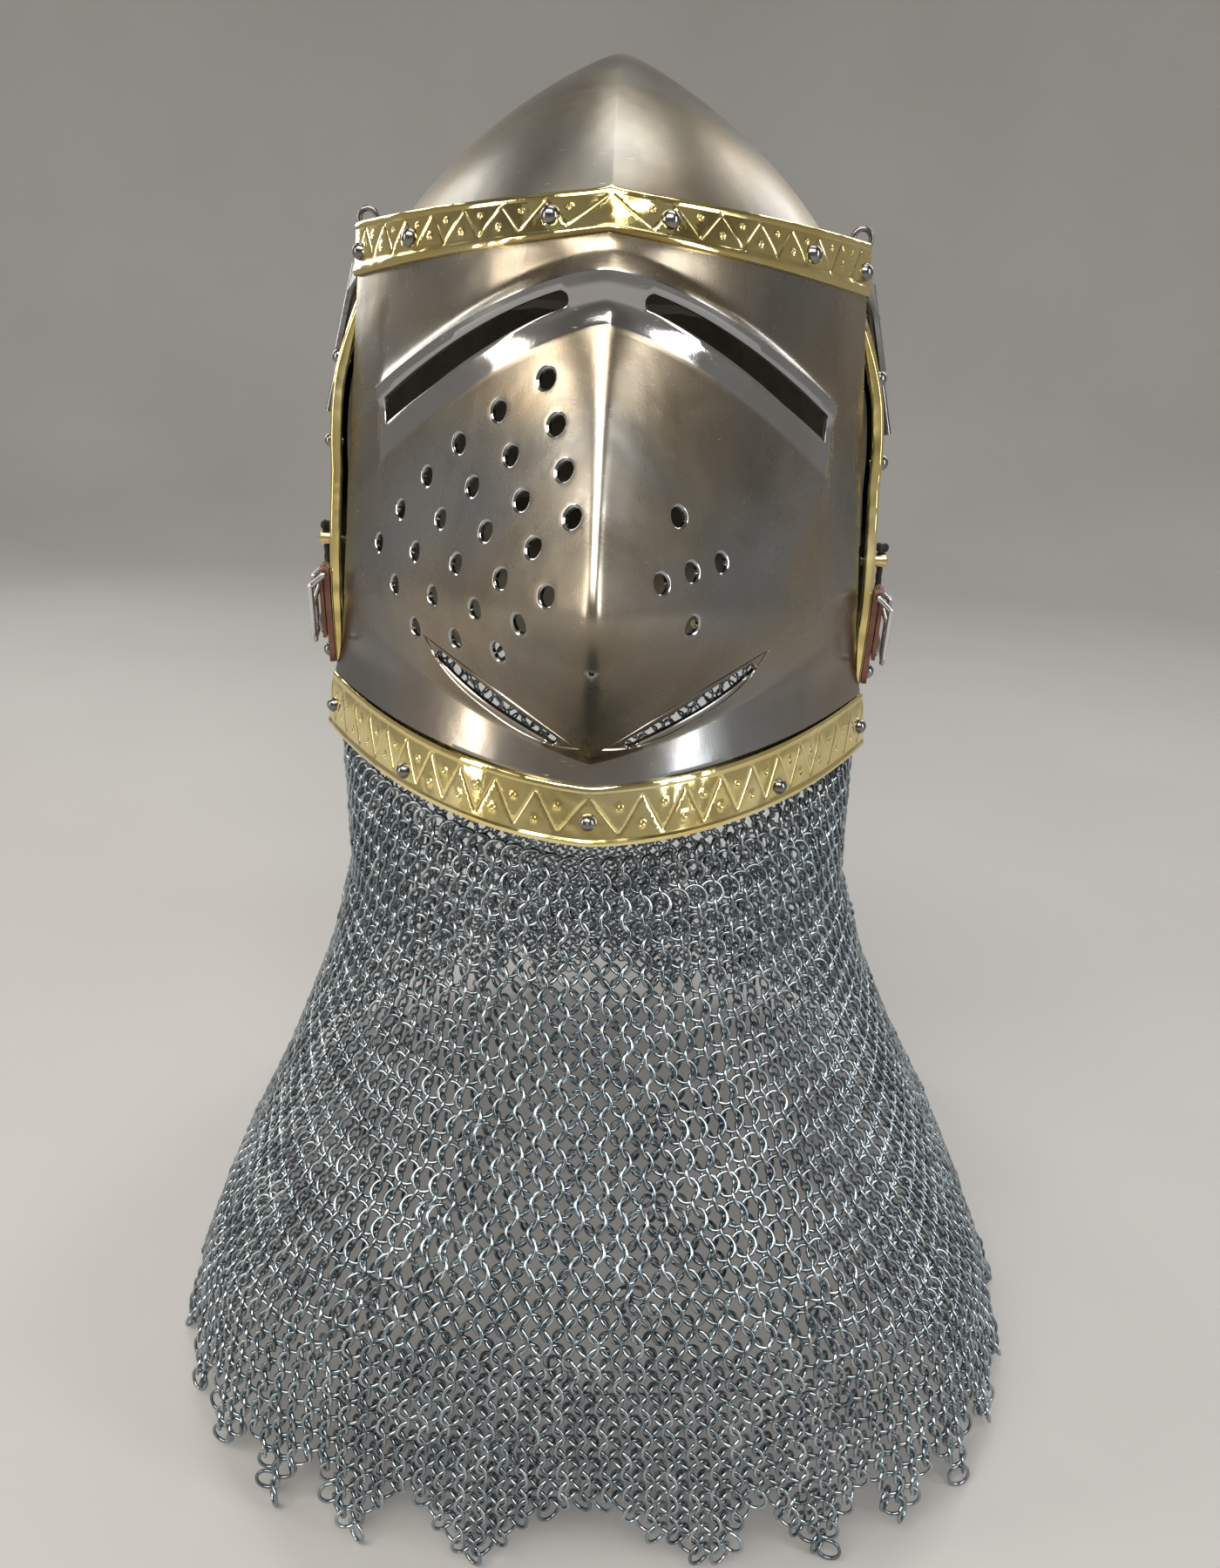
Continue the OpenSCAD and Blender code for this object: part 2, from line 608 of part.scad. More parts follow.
module vervelles() {
    color("khaki") for (s = vervelle_steps) let(p = path(s), a = beside(s - 1, 0, cord_out), b = beside(s + 1, 0, cord_out))
        difference() {
            on([skull_at(p[0], p[1]), skull_normal(p[0], p[1])]) {
                translate([0, 0, seat]) cylinder(r = vervelle, h = vervelle_high - 2 - seat);
                translate([0, 0, vervelle_high - 2]) intersection() {
                    cylinder(r = vervelle, h = 2);
                    translate([0, 0, -vervelle]) sphere(r = vervelle + 2);
                }
                translate([0, 0, -plate - sag - seat]) cylinder(r = vervelle_shank, h = plate + sag + seat + 1);
                translate([0, 0, -plate - sag - seat - peen]) cylinder(r = vervelle_shank + 0.8, h = peen);
            }
            on([(a + b) / 2, unit(b - a)]) hole(cord_hole, 8);
        }
}

module aventail_band() {
    color("saddlebrown") difference() {
        loft([for (s = all_steps) [
            beside(s, -band_leather / 2, sag + leather), beside(s, band_leather / 2, sag + leather),
            beside(s, band_leather / 2, sag), beside(s, -band_leather / 2, sag)]]);
        for (s = vervelle_spots) on(s) hole(vervelle + fit, 8);
    }
}

knot = 2.8;
cord_start = 5;
cord_steps = concat([cord_start], [for (s = vervelle_steps) each [s - vervelle, s, s + vervelle, s + vervelle_gap / 2]]);
cord_rings = [for (i = [0 : len(cord_steps) - 2]) cord_steps[i]];
module vervelle_cord() {
    color("black") {
        loft([for (s = concat(cord_rings, [2 * run_half - cord_start])) let(
            p = beside(s, 0, cord_out),
            d = unit(beside(s + 1, 0, cord_out) - beside(s - 1, 0, cord_out)),
            n = unit(beside(s, 0, cord_out + 1) - p),
            w = cross(d, n))
            [for (k = [0 : 7]) p + cord * (n * cos(45 * k) + w * sin(45 * k))]]);
        for (s = [cord_start, 2 * run_half - cord_start]) translate(beside(s, 0, cord_out)) sphere(r = knot);
    }
}

// Padding inside the skull, quilted in upright channels and drawn in at the crown.
pad_out = strap_in + soft_gap - sag + seat;
pad_start = -40;
pad_drop = 48;
function pad_point(t, z, depth, rise) = let(p = skull(t, z, -pad_out - depth))
    [p[0], p[1], z > pad_start ? p[2] - z + pad_start + rise * sin(90 * (z - pad_start) / (apex + 2 - pad_start)) : p[2]];
liner_rows = concat([for (i = [1 : 8]) -belt + (apex + belt) * (1 - pow(i / 8.6, 2))], [-belt, -liner_low]);
module liner() {
    color("tan") difference() {
        loft([for (j = [0 : 35]) let(t = 10 * j, d = j % 2 == 0 ? seam_pad : full_pad) concat(
            [for (z = liner_rows) pad_point(t, z, 0, pad_drop)],
            [for (i = [len(liner_rows) - 1 : -1 : 0]) pad_point(t, liner_rows[i], d, pad_drop - seam_pad - 1)])],
            true, [[0, mid(apex), pad_start + pad_drop], [0, mid(apex), pad_start + pad_drop - seam_pad - 1]]);
        face_cut(cheek - 8, brow + 10, corner);
        both() along_pivot() translate([0, 0, washer_out - nut_thick - 2.4]) cylinder(r = 10, h = 20);
        for (s = concat(brow_spots, rear_spots)) on(s) hole(peen_wide + 1, strap_in + peen + 0.5);
    }
}
module liner_strap() {
    color("peru") difference() {
        loft([for (j = [0 : skull_sides - 1]) let(
            t = 360 * j / skull_sides,
            lo = strap_z - strap_high / 2,
            up = strap_z + strap_high / 2)
            [skull(t, up, -strap_out), skull(t, lo, -strap_out),
             skull(t, lo, -strap_out - leather), skull(t, up, -strap_out - leather)]], true);
        for (s = concat(brow_spots, rear_spots)) on(s) hole(shank + fit);
    }
}
module liner_rivets() {
    color("gray") for (s = rear_spots) on(s) rivet(seat, strap_in + seat, 3, 1);
}

// Cheek buckles: local X points out of the cheek, Y back, Z up.
buckle_y = -14;
buckle_z = -218;
buckle_turn = turn(buckle_y, buckle_z);
buckle_spot = skull_at(buckle_turn, buckle_z);
buckle_out = skull_normal(buckle_turn, buckle_z);
module buckle_place() {
    translate(buckle_spot) rotate([0, 0, atan2(buckle_out[1], buckle_out[0])])
        rotate([0, -asin(buckle_out[2]), 0]) children();
}
tab_in = strip_out + soft_gap;
tab_out = tab_in + leather;
flap_in = tab_out + 0.6;
flap_out = flap_in + 1.8;
tab_top = 20;
tab_low = -20;
flap_low = -8;
roll_z = tab_top + 2;
roll_in = wire + 0.2;
roll_out = (flap_out - tab_in) / 2;
roll_x = tab_in + roll_out;
buckle_rivet_z = [-2.5, -15.5];
module tab() {
    notch = 2.2;
    difference() {
        union() {
            translate([tab_in, -tab_width / 2, tab_low + 4]) cube([leather, tab_width, roll_z - tab_low - 4]);
            translate([tab_in, -tab_width / 2 + 4, tab_low]) cube([leather, tab_width - 8, 5]);
            for (y = [-1, 1]) translate([tab_in, y * (tab_width / 2 - 4), tab_low + 4]) rotate([0, 90, 0]) cylinder(r = 4, h = leather);
            translate([flap_in, -tab_width / 2 + 2, flap_low]) cube([flap_out - flap_in, tab_width - 4, roll_z - flap_low]);
            translate([roll_x, -tab_width / 2, roll_z]) rotate([-90, 0, 0]) cylinder(r = roll_out, h = tab_width);
        }
        translate([roll_x, -20, roll_z]) rotate([-90, 0, 0]) cylinder(r = roll_in, h = 40);
        translate([tab_out + 0.3, -notch, roll_z - 12]) cube([8, 2 * notch, 18]);
        translate([tab_in - 1, -notch, roll_z - 3.5]) cube([8, 2 * notch, 8]);
        for (z = buckle_rivet_z) translate([0, 0, z]) rotate([0, 90, 0]) hole(shank + fit);
    }
}
module buckle_tab_left() { color("sienna") buckle_place() tab(); }
module buckle_tab_right() { color("sienna") mirror([1, 0, 0]) buckle_place() tab(); }

module buckle_rivets() {
    color("silver") both() buckle_place() {
        translate([0, 0, buckle_rivet_z[0]]) rotate([0, 90, 0]) rivet(flap_out + fit, tail, 6, 1.8);
        translate([0, 0, buckle_rivet_z[1]]) rotate([0, 90, 0]) rivet(tab_out + fit, tail);
    }
}

frame_half = tab_width / 2 + wire + 1.6;
frame_x = flap_out + wire + 2.2;
frame_low = roll_z - frame_high + 2 * wire;
module rod(a, b) {
    translate(a) sphere(r = wire + 0.1);
    on([a, unit(b - a)]) cylinder(r = wire, h = norm(b - a));
}
module buckle_frame() {
    corners = [[roll_x, -frame_half, roll_z], [roll_x, frame_half, roll_z], [frame_x, frame_half, roll_z - 5],
        [frame_x, frame_half - 1, frame_low + 3], [frame_x, frame_half - 4, frame_low],
        [frame_x, 4 - frame_half, frame_low], [frame_x, 1 - frame_half, frame_low + 3], [frame_x, -frame_half, roll_z - 5]];
    for (i = [0 : 7]) rod(corners[i], corners[(i + 1) % 8]);
}
module buckle_frame_left() { color("gainsboro") buckle_place() buckle_frame(); }
module buckle_frame_right() { color("gainsboro") mirror([1, 0, 0]) buckle_place() buckle_frame(); }

tongue = 1.1;
tongue_lean = 22;
module buckle_tongue() {
    difference() {
        union() {
            translate([roll_x, -1.6, roll_z]) rotate([-90, 0, 0]) cylinder(r = wire + fit + 1.3, h = 3.2);
            translate([roll_x, 0, roll_z]) rotate([0, 180 - tongue_lean, 0]) {
                translate([0, 0, wire + 0.6]) cylinder(r = tongue, h = tongue_long - wire - 0.6);
                translate([0, 0, tongue_long]) sphere(r = tongue + 0.5);
            }
        }
        translate([roll_x, -20, roll_z]) rotate([-90, 0, 0]) cylinder(r = wire + fit, h = 40);
    }
}
module buckle_tongue_left() { color("gainsboro") buckle_place() buckle_tongue(); }
module buckle_tongue_right() { color("gainsboro") mirror([1, 0, 0]) buckle_place() buckle_tongue(); }

// Mail curtain. Rings, from the top: level at the sides, level in front, half width, Y in
// front, Y behind, power of the front curve, power of the back curve.
mail_top = -path_low + band_leather / 2 + soft_gap;
mail_neck = side(-mail_top) + seat + 0.35 + mail;
RINGS = [
    [-mail_top, -mail_top - 35, mail_neck, -133, mid(-rim) + aft(-rim) + keel_height / 2 + soft_gap + mail, 1.7, 2],
    [-292, -302, mail_neck - 1.5, -141, 124, 1.8, 2],
    [-335, -335, 124, -152, 124, 2, 2],
    [-388, -366, 138, -172, 140, 2.1, 2.1],
    [-440, -395, 160, -196, 168, 2.4, 2.4],
    [-475, -415, 176, -217, 188, 2.7, 2.7],
    [-500, -440, 190, -228, 200, 2.9, 2.9],
    [-mail_hem, -mail_hem, 211, -231, 207, 3, 3]
];
function power(v, e) = sign(v) * pow(abs(v), e);
function mail_level(ring, c, top) = top
    ? ring[0] - 24 * smooth((c - 0.02) / 0.16) - 11 * max(0, c) * max(0, c)
    : ring[0] + (ring[1] - ring[0]) * pow(max(0, c), 2);
function mail_point(ring, t, thick, top = false) = let(c = cos(t), e = 2 / (c > 0 ? ring[5] : ring[6]),
    z = mail_level(ring, c, top)) [
    (ring[2] - thick) * power(sin(t), e) + mail_lean * max(0, -262 - z),
    middle - (c > 0 ? middle - ring[3] - thick : ring[4] - middle - thick) * power(c, e),
    z
];
function mail_column(t, thick, notch) = let(
    hem = mail_point(RINGS[7], t, thick),
    over = mail_point(RINGS[6], t, thick),
    rise = notch ? min(0.95, dag / (over[2] - hem[2])) : 0)
    concat([for (i = [0 : 6]) mail_point(RINGS[i], t, thick, i == 0)], [lerp(hem, over, rise)]);

// Rows of links show as level ribs on the outside: how many ribs lie between one ring and the
// next, and how far a rib stands over the plain curtain. The last ribs lie on the dags alone.
RIBS = [3, 3, 4, 4, 3, 2, 4, 3];
rib_high = 0.9;
rib_low = -0.3;
function mail_steps(t) = let(
    hem = mail_point(RINGS[7], t, 0),
    over = mail_point(RINGS[6], t, 0),
    fork = lerp(over, hem, max(0.1, 1 - dag / (over[2] - hem[2]))))
    concat([for (i = [0 : 6]) mail_point(RINGS[i], t, 0, i == 0)], [fork]);
function mail_face(t, notch) = let(
    o = mail_steps(t),
    hem = mail_point(RINGS[7], t, 0),
    end = notch ? lerp(o[7], hem, 0.05) : hem,
    out = unit([o[7][0] - mail_lean * max(0, -262 - o[7][2]), o[7][1] - middle, 0]))
    concat([o[0]], [for (i = [0 : 7], k = [1 : 2 * RIBS[i]]) let(
        next = i < 7 ? o[i + 1] : end,
        top_fade = i == 0 ? (k - 1) / (2 * RIBS[0]) : 1)
        lerp(o[i], next, k / (2 * RIBS[i])) + out * top_fade * (k % 2 == 1 ? rib_high : rib_low)]);
module aventail() {
    color("slategray") loft([for (j = [0 : 2 * dags - 1]) let(
        t = 180 * j / dags,
        o = mail_face(t, j % 2 == 0),
        q = mail_column(t, mail, j % 2 == 0)) concat(o, [for (i = [7 : -1 : 0]) q[i]])], true);
}

skull();
brow_trim();
cheek_trim_left();
cheek_trim_right();
trim_rivets();
visor_plate();
visor_top_band();
visor_bottom_band();
top_band_rivets();
bottom_band_rivets();
hinge_leaf_left();
hinge_leaf_right();
pivot_arm_left();
pivot_arm_right();
hinge_pin_left();
hinge_pin_right();
pivot_bolts();
pivot_spacers();
pivot_washers();
pivot_nuts();
vervelles();
aventail_band();
vervelle_cord();
liner();
liner_strap();
liner_rivets();
buckle_tab_left();
buckle_tab_right();
buckle_rivets();
buckle_frame_left();
buckle_frame_right();
buckle_tongue_left();
buckle_tongue_right();
aventail();
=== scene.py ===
"""Looks for the bascinet: fine plates, engraved brass, linked mail, padding, cord and leather."""

import math

import bpy
import numpy as np
from mathutils import Matrix, Vector
from mathutils.geometry import delaunay_2d_cdt


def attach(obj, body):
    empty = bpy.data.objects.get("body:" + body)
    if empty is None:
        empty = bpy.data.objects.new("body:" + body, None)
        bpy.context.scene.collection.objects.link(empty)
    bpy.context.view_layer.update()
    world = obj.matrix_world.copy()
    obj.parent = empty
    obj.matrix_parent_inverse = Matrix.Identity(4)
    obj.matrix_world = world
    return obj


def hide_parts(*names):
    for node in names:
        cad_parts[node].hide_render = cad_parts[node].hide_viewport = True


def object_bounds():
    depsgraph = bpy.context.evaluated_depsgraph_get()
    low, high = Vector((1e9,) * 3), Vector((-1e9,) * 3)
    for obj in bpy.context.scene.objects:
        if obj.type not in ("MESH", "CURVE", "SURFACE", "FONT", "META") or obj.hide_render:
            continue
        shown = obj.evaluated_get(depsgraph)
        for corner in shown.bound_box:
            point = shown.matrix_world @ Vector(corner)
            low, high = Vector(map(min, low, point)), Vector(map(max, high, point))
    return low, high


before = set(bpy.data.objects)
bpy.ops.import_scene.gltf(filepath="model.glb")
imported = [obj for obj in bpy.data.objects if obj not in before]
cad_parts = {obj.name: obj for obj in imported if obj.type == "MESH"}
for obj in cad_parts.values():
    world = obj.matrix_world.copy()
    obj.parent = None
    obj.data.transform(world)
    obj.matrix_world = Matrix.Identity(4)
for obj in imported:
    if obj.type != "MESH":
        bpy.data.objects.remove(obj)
CAD_BOX = [[float(c) for c in corner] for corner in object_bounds()]
MM = 0.001
rng = np.random.default_rng(11)

# The source's sizes, in millimetres.
APEX, BELT, RIM = 24.0, 150.0, 255.0
HALF_WIDTH, SWELL, FLARE = 124.3, 2.5, 0.7
FORE, AFT, MIDDLE, APEX_BACK = 138.0, 112.0, 15.0, 30.0
NAPE_DRAW, NAPE_REACH = 11.0, 130.0
BROW_PINCH, KEEL, PLATE = 0.2, 3.0, 2.0
BROW, CHEEK, CORNER, STRIP = 68.0, 22.0, 14.0, 18.0
STRIP_LOW, SAG, STRIP_THICK = 239.0, 0.35, 1.2
SEAT, BAND_THICK, LEATHER, BREATH = 0.15, 1.2, 2.5, 3.7
VISOR_HALF, VISOR_SPREAD, CHIN_SPREAD, RIB_END = 104.03, 0.087, 5.6, 93.0


def placed(name, data):
    obj = bpy.data.objects.new(name, data)
    bpy.context.scene.collection.objects.link(obj)
    return obj


lens = bpy.data.cameras.new("camera")
lens.lens = 26.0
lens.sensor_width = 36.0
lens.clip_start = 0.01
camera = placed("camera", lens)
tilt = Matrix.Rotation(math.radians(69.0), 4, "X") @ Matrix.Rotation(math.radians(2.4), 4, "Z")
camera.matrix_world = Matrix.Translation((0.0078, -0.540, -0.095)) @ tilt
bpy.context.scene.camera = camera


# Maths.
def smooth(v):
    u = np.clip(v, 0, 1)
    return u * u * (3 - 2 * u)


def unit(v):
    return v / np.maximum(np.linalg.norm(v, axis=-1, keepdims=True), 1e-12)


def stack(x, y, z):
    x, y, z = np.broadcast_arrays(x, y, z)
    return np.stack([x, y, z], -1).astype(float)


def columns(*values):
    return np.column_stack(values)


def lengths(points, axis=0):
    """Distance run along a row of points, or along one axis of a grid of them."""
    steps = np.linalg.norm(np.diff(points, axis=axis), axis=-1)
    return np.concatenate([np.zeros_like(steps.take([0], axis)), np.cumsum(steps, axis)], axis)


def resample(line, pitch, closed=False):
    """Points along a polyline, about pitch apart, with its corners kept where it bends."""
    line = np.asarray(line, float)
    ends = np.vstack([line, line[:1]]) if closed else line
    out = []
    for a, b in zip(ends[:-1], ends[1:]):
        n = max(1, int(round(np.linalg.norm(b - a) / pitch)))
        out += [a + (b - a) * i / n for i in range(n)]
    if not closed:
        out.append(ends[-1])
    return np.array(out)


# Skull surface.
def dome(z):
    return np.clip((z + BELT) / (APEX + BELT), 0, 1)


def side(z):
    low = np.maximum(0, (-BELT - z) / (RIM - BELT))
    up = HALF_WIDTH * (1 - dome(z) ** 2.35) ** 0.85
    return np.where(z > -BELT, up, HALF_WIDTH + SWELL * np.sin(np.pi * low) + FLARE * low)


def mid(z):
    return MIDDLE + APEX_BACK * dome(z) ** 3


def fore(z):
    return FORE * np.sqrt(1 - dome(z) ** 2.6)


def aft(z):
    drawn = NAPE_DRAW * np.sin(np.pi * (-BELT - z) / NAPE_REACH)
    return AFT * np.sqrt(1 - dome(z) ** 3) - np.where(z < -BELT, drawn, 0)


def skull_at(t, z):
    c, s = np.cos(t), np.sin(t)
    keel = KEEL * np.maximum(0, 1 - np.abs(s) / 0.3) ** 2 * side(z) / HALF_WIDTH
    pinch = 1 - BROW_PINCH * smooth((z + 115) / 35) * np.maximum(0, c) ** 2
    y = np.where(c > 0, mid(z) - fore(z) * c - keel, mid(z) - aft(z) * c + keel / 2)
    return stack(side(z) * s * pinch, y, z)


def skull_normal(t, z):
    d = math.radians(1)
    z = np.minimum(z, APEX - 0.9)
    down = skull_at(t, z - 0.8) - skull_at(t, z + 0.8)
    return unit(np.cross(down, skull_at(t + d, z) - skull_at(t - d, z)))


def skull(t, z, out=0.0):
    return skull_at(t, z) + np.asarray(out)[..., None] * skull_normal(t, z)


def turn(y, z):
    span = np.where(y < mid(z), fore(z), aft(z))
    return np.arccos(np.clip((mid(z) - y) / span, -1, 1))


# Visor surface.
VISOR = np.array([
    [-44.5, -51, 0.6, -112, 0.16, 0, -27],
    [-58.5, -71, 0.95, -124, 0.17, 0, -27],
    [-65, -121, 1.5, -127.5, 0.18, 0, -27],
    [-71.3, -128.6, 1.55, -128.5, 0.18, 4, -27],
    [-75, -132, 1.5, -129, 0.19, 3, -27],
    [-80.5, -138, 1.35, -128.5, 0.21, 1.52, -27],
    [-88.8, -163, 1.45, -130, 0.28, 2, -27],
    [-115, -172, 1.4, -146, 0.45, 0, -27],
    [-145, -180, 1.3, -163.5, 0.6, 0, -27],
    [-175, -187, 1.2, -180, 0.72, 0, -27],
    [-198, -193, 1.1, -170, 0.6, 0, -27],
    [-222, -199, 1.1, -153, 0.42, 0, -27],
    [-241.5, -204.5, 1.1, -139, 0.2, 0, -26],
    [-249, -241, 1, -140.8, 0.14, 0, -26],
    [-250, -244, 1, -141, 0.12, 0, -16],
    [-272, -270, 1, -146, 0.1, 0, -16],
])
CREASES = [0, 3, 6, 12, 13, 14, 15]
LAST = 15.0


def visor_table():
    """Stations every hundredth of a row, on a smooth curve that breaks at the creases."""
    rows = []
    for r in np.arange(0, 15.0001, 0.01):
        g = max(c for c in CREASES if c <= r + 1e-9 and c < 15)
        h = min(c for c in CREASES if c > g)
        i = min(int(r + 1e-9), h - 1)
        f = r - i
        b, c = VISOR[i], VISOR[i + 1]
        a = VISOR[i - 1] if i > g else 2 * b - c
        d = VISOR[i + 2] if i + 1 < h else 2 * c - b
        rows.append(0.5 * (2 * b + (c - a) * f + (2 * a - 5 * b + 4 * c - d) * f ** 2
                           + (3 * b - a - 3 * c + d) * f ** 3))
    return np.array(rows)


TABLE = visor_table()
TABLE_ROWS = np.arange(len(TABLE)) * 0.01


def station(r):
    return [np.interp(r, TABLE_ROWS, TABLE[:, k]) for k in range(7)]


def visor_width(z):
    return VISOR_HALF + VISOR_SPREAD * (-51 - z) + CHIN_SPREAD * smooth((-z - 225) / 30)


def visor_at(r, a):
    s = station(r)
    b = np.abs(a)
    z = s[0] + (s[1] - s[0]) * b ** s[2]
    soft = np.where(b < 0.024, b * b / 0.048 + 0.012, b)
    y = s[3] + (s[6] - s[3]) * (s[4] * (soft - 0.006) + (1 - s[4]) * b * b)
    return stack(a * visor_width(z), y, z)


def visor_normal(r, a):
    d = 0.04
    u = np.clip(r, d, LAST - d)
    v = np.clip(a, d - 1, 1 - d)
    return unit(np.cross(visor_at(u + d, v) - visor_at(u - d, v), visor_at(u, v + d) - visor_at(u, v - d)))


def visor(r, a, out=0.0):
    p = visor_at(r, a)
    rib = station(r)[5] * np.clip((RIB_END - np.abs(p[..., 0])) / 3, 0, 1)
    return p + (rib + out)[..., None] * visor_normal(r, a)


def visor_row(a, z):
    lo, hi = np.zeros_like(a), np.full_like(a, LAST)
    for _ in range(30):
        m = (lo + hi) / 2
        above = visor_at(m, a)[..., 2] > z
        lo, hi = np.where(above, m, lo), np.where(above, hi, m)
    return (lo + hi) / 2


def solve(a, r, origin, e1, e2, u, v):
    """Visor coordinates whose surface point lies at u, v in the plane of e1 and e2."""
    def f(a, r):
        p = visor(r, a) - origin
        return (p * e1).sum(-1) - u, (p * e2).sum(-1) - v
    h = 2e-3
    for _ in range(12):
        f1, f2 = f(a, r)
        a1, a2 = f(a + h, r)
        r1, r2 = f(a, r + h)
        j11, j12, j21, j22 = (a1 - f1) / h, (r1 - f1) / h, (a2 - f2) / h, (r2 - f2) / h
        det = j11 * j22 - j12 * j21
        det = np.where(np.abs(det) < 1e-6, 1e-6, det)
        a = np.clip(a - np.clip((f1 * j22 - f2 * j12) / det, -0.05, 0.05), -1, 1)
        r = np.clip(r - np.clip((j11 * f2 - j21 * f1) / det, -0.5, 0.5), 0, LAST)
    return a, r


def from_front(points):
    """Visor coordinates of points given by X and Z, as a cut along Y meets them."""
    x, z = np.asarray(points, float).T
    a = x / visor_width(z)
    r = visor_row(a, z)
    return solve(a, r, np.zeros(3), np.array([1.0, 0, 0]), np.array([0, 0, 1.0]), x, z)


def ring_on_visor(x, z, radius, n=24):
    a = np.array([x / visor_width(z)])
    r = visor_row(a, np.array([float(z)]))
    base = visor(r, a)[0]
    normal = visor_normal(r, a)[0]
    e1 = unit(np.cross(normal, [0, 0, 1.0]))
    e2 = np.cross(e1, normal)
    w = np.arange(n) * 2 * math.pi / n
    return solve(np.full(n, a[0]), np.full(n, r[0]), base, e1, e2, radius * np.cos(w), radius * np.sin(w))


# Meshes.
def add_mesh(name, verts, faces, mat, body, node, slot, smooth_angle=40.0, attrs=None):
    """A piece from points in millimetres and faces as an array, or a list of arrays, of indices."""
    groups = faces if isinstance(faces, list) else [faces]
    mesh = bpy.data.meshes.new(name)
    mesh.vertices.add(len(verts))
    mesh.vertices.foreach_set("co", (np.asarray(verts, float) * MM).astype(np.float32).ravel())
    corners = np.concatenate([np.asarray(g, np.int32).ravel() for g in groups])
    sizes = np.concatenate([np.full(len(g), g.shape[1], np.int32) for g in groups])
    mesh.loops.add(len(corners))
    mesh.loops.foreach_set("vertex_index", corners)
    mesh.polygons.add(len(sizes))
    mesh.polygons.foreach_set("loop_start", np.concatenate([[0], np.cumsum(sizes)[:-1]]).astype(np.int32))
    mesh.polygons.foreach_set("use_smooth", np.ones(len(sizes), bool))
    mesh.update(calc_edges=True)
    for key, values in (attrs or {}).items():
        mesh.attributes.new(key, "FLOAT", "POINT").data.foreach_set("value", np.asarray(values, np.float32))
    if mesh.validate():
        print("repaired", name)
    if smooth_angle:
        mesh.set_sharp_from_angle(angle=math.radians(smooth_angle))
    mesh.materials.append(mat)
    obj = placed(name, mesh)
    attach(obj, body)
    if node:
        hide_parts(node)
    return obj


def open_edges(faces, size):
    """Edges that only one face uses, in that face's direction."""
    after = np.roll(faces, -1, 1)
    pairs = np.concatenate([columns(faces[:, k], after[:, k]) for k in range(faces.shape[1])])
    key = pairs.min(1).astype(np.int64) * size + pairs.max(1)
    value, counts = np.unique(key, return_counts=True)
    return pairs[np.isin(key, value[counts == 1])]


def rim_walls(rim, size):
    """Quads that join the rims of two skins whose points are size apart in the list."""
    return columns(rim[:, 1], rim[:, 0], rim[:, 0] + size, rim[:, 1] + size)


def inside(points, loops):
    """Even-odd test of points against closed loops."""
    hit = np.zeros(len(points), bool)
    px, py = points[:, 0], points[:, 1]
    for loop in loops:
        lo, hi = loop.min(0), loop.max(0)
        near = np.nonzero((px <= hi[0]) & (py >= lo[1]) & (py <= hi[1]))[0]
        for k in range(0, len(near), 4000):
            part = near[k:k + 4000]
            x, y = px[part, None], py[part, None]
            a, b = loop, np.roll(loop, -1, 0)
            cross = (a[:, 1] > y) != (b[:, 1] > y)
            with np.errstate(divide="ignore", invalid="ignore"):
                at = (b[:, 0] - a[:, 0]) * (y - a[:, 1]) / (b[:, 1] - a[:, 1]) + a[:, 0]
            hit[part] ^= (cross & (x < at)).sum(1) % 2 == 1
    return hit


def nearest(points, lines):
    """Distance from each point to the closest of some polylines."""
    best = np.full(len(points), 1e9)
    for line in lines:
        lo, hi = line.min(0) - 4, line.max(0) + 4
        near = np.nonzero(((points >= lo) & (points <= hi)).all(1))[0]
        a, b = line[:-1], line[1:]
        d = b - a
        long = np.maximum((d * d).sum(1), 1e-12)
        for k in range(0, len(near), 4000):
            part = near[k:k + 4000]
            p = points[part][:, None]
            w = np.clip(((p - a) * d).sum(-1) / long, 0, 1)
            dist = np.linalg.norm(p - a - w[..., None] * d, axis=-1).min(1)
            best[part] = np.minimum(best[part], dist)
    return best


def sheet_mesh(outline, holes, marks, grid, keep_off):
    """Triangles over a flat region. holes and marks are (points, height) with height None where
    the surface decides. Returns the points, the triangles and the heights."""
    items = [(outline, None, True)] + [(p, h, True) for p, h in holes] + [(p, h, c) for p, h, c in marks]
    pts, edges, heights, at = [], [], [], 0
    for p, h, closed in items:
        n = len(p)
        pts.append(p)
        heights.append(np.full(n, np.nan if h is None else h))
        edges += [(at + i, at + i + 1) for i in range(n - 1)] + ([(at + n - 1, at)] if closed else [])
        at += n
    lines = [np.vstack([p, p[:1]]) if closed else p for p, h, closed in items]
    free = grid[inside(grid, [outline])]
    free = free[nearest(free, lines) > keep_off]
    pts.append(free)
    heights.append(np.full(len(free), np.nan))
    flat, height = np.vstack(pts), np.concatenate(heights)
    out = delaunay_2d_cdt([Vector(p) for p in flat], edges, [], 0, 1e-5, True)
    uv = np.array([tuple(v) for v in out[0]])
    tris = np.array([f for f in out[2] if len(f) == 3], np.int32)
    h = np.array([height[o[0]] if o else np.nan for o in out[3]])
    centre = uv[tris].mean(1)
    tris = tris[inside(centre, [outline] + [p for p, _ in holes])]
    return uv, tris, h


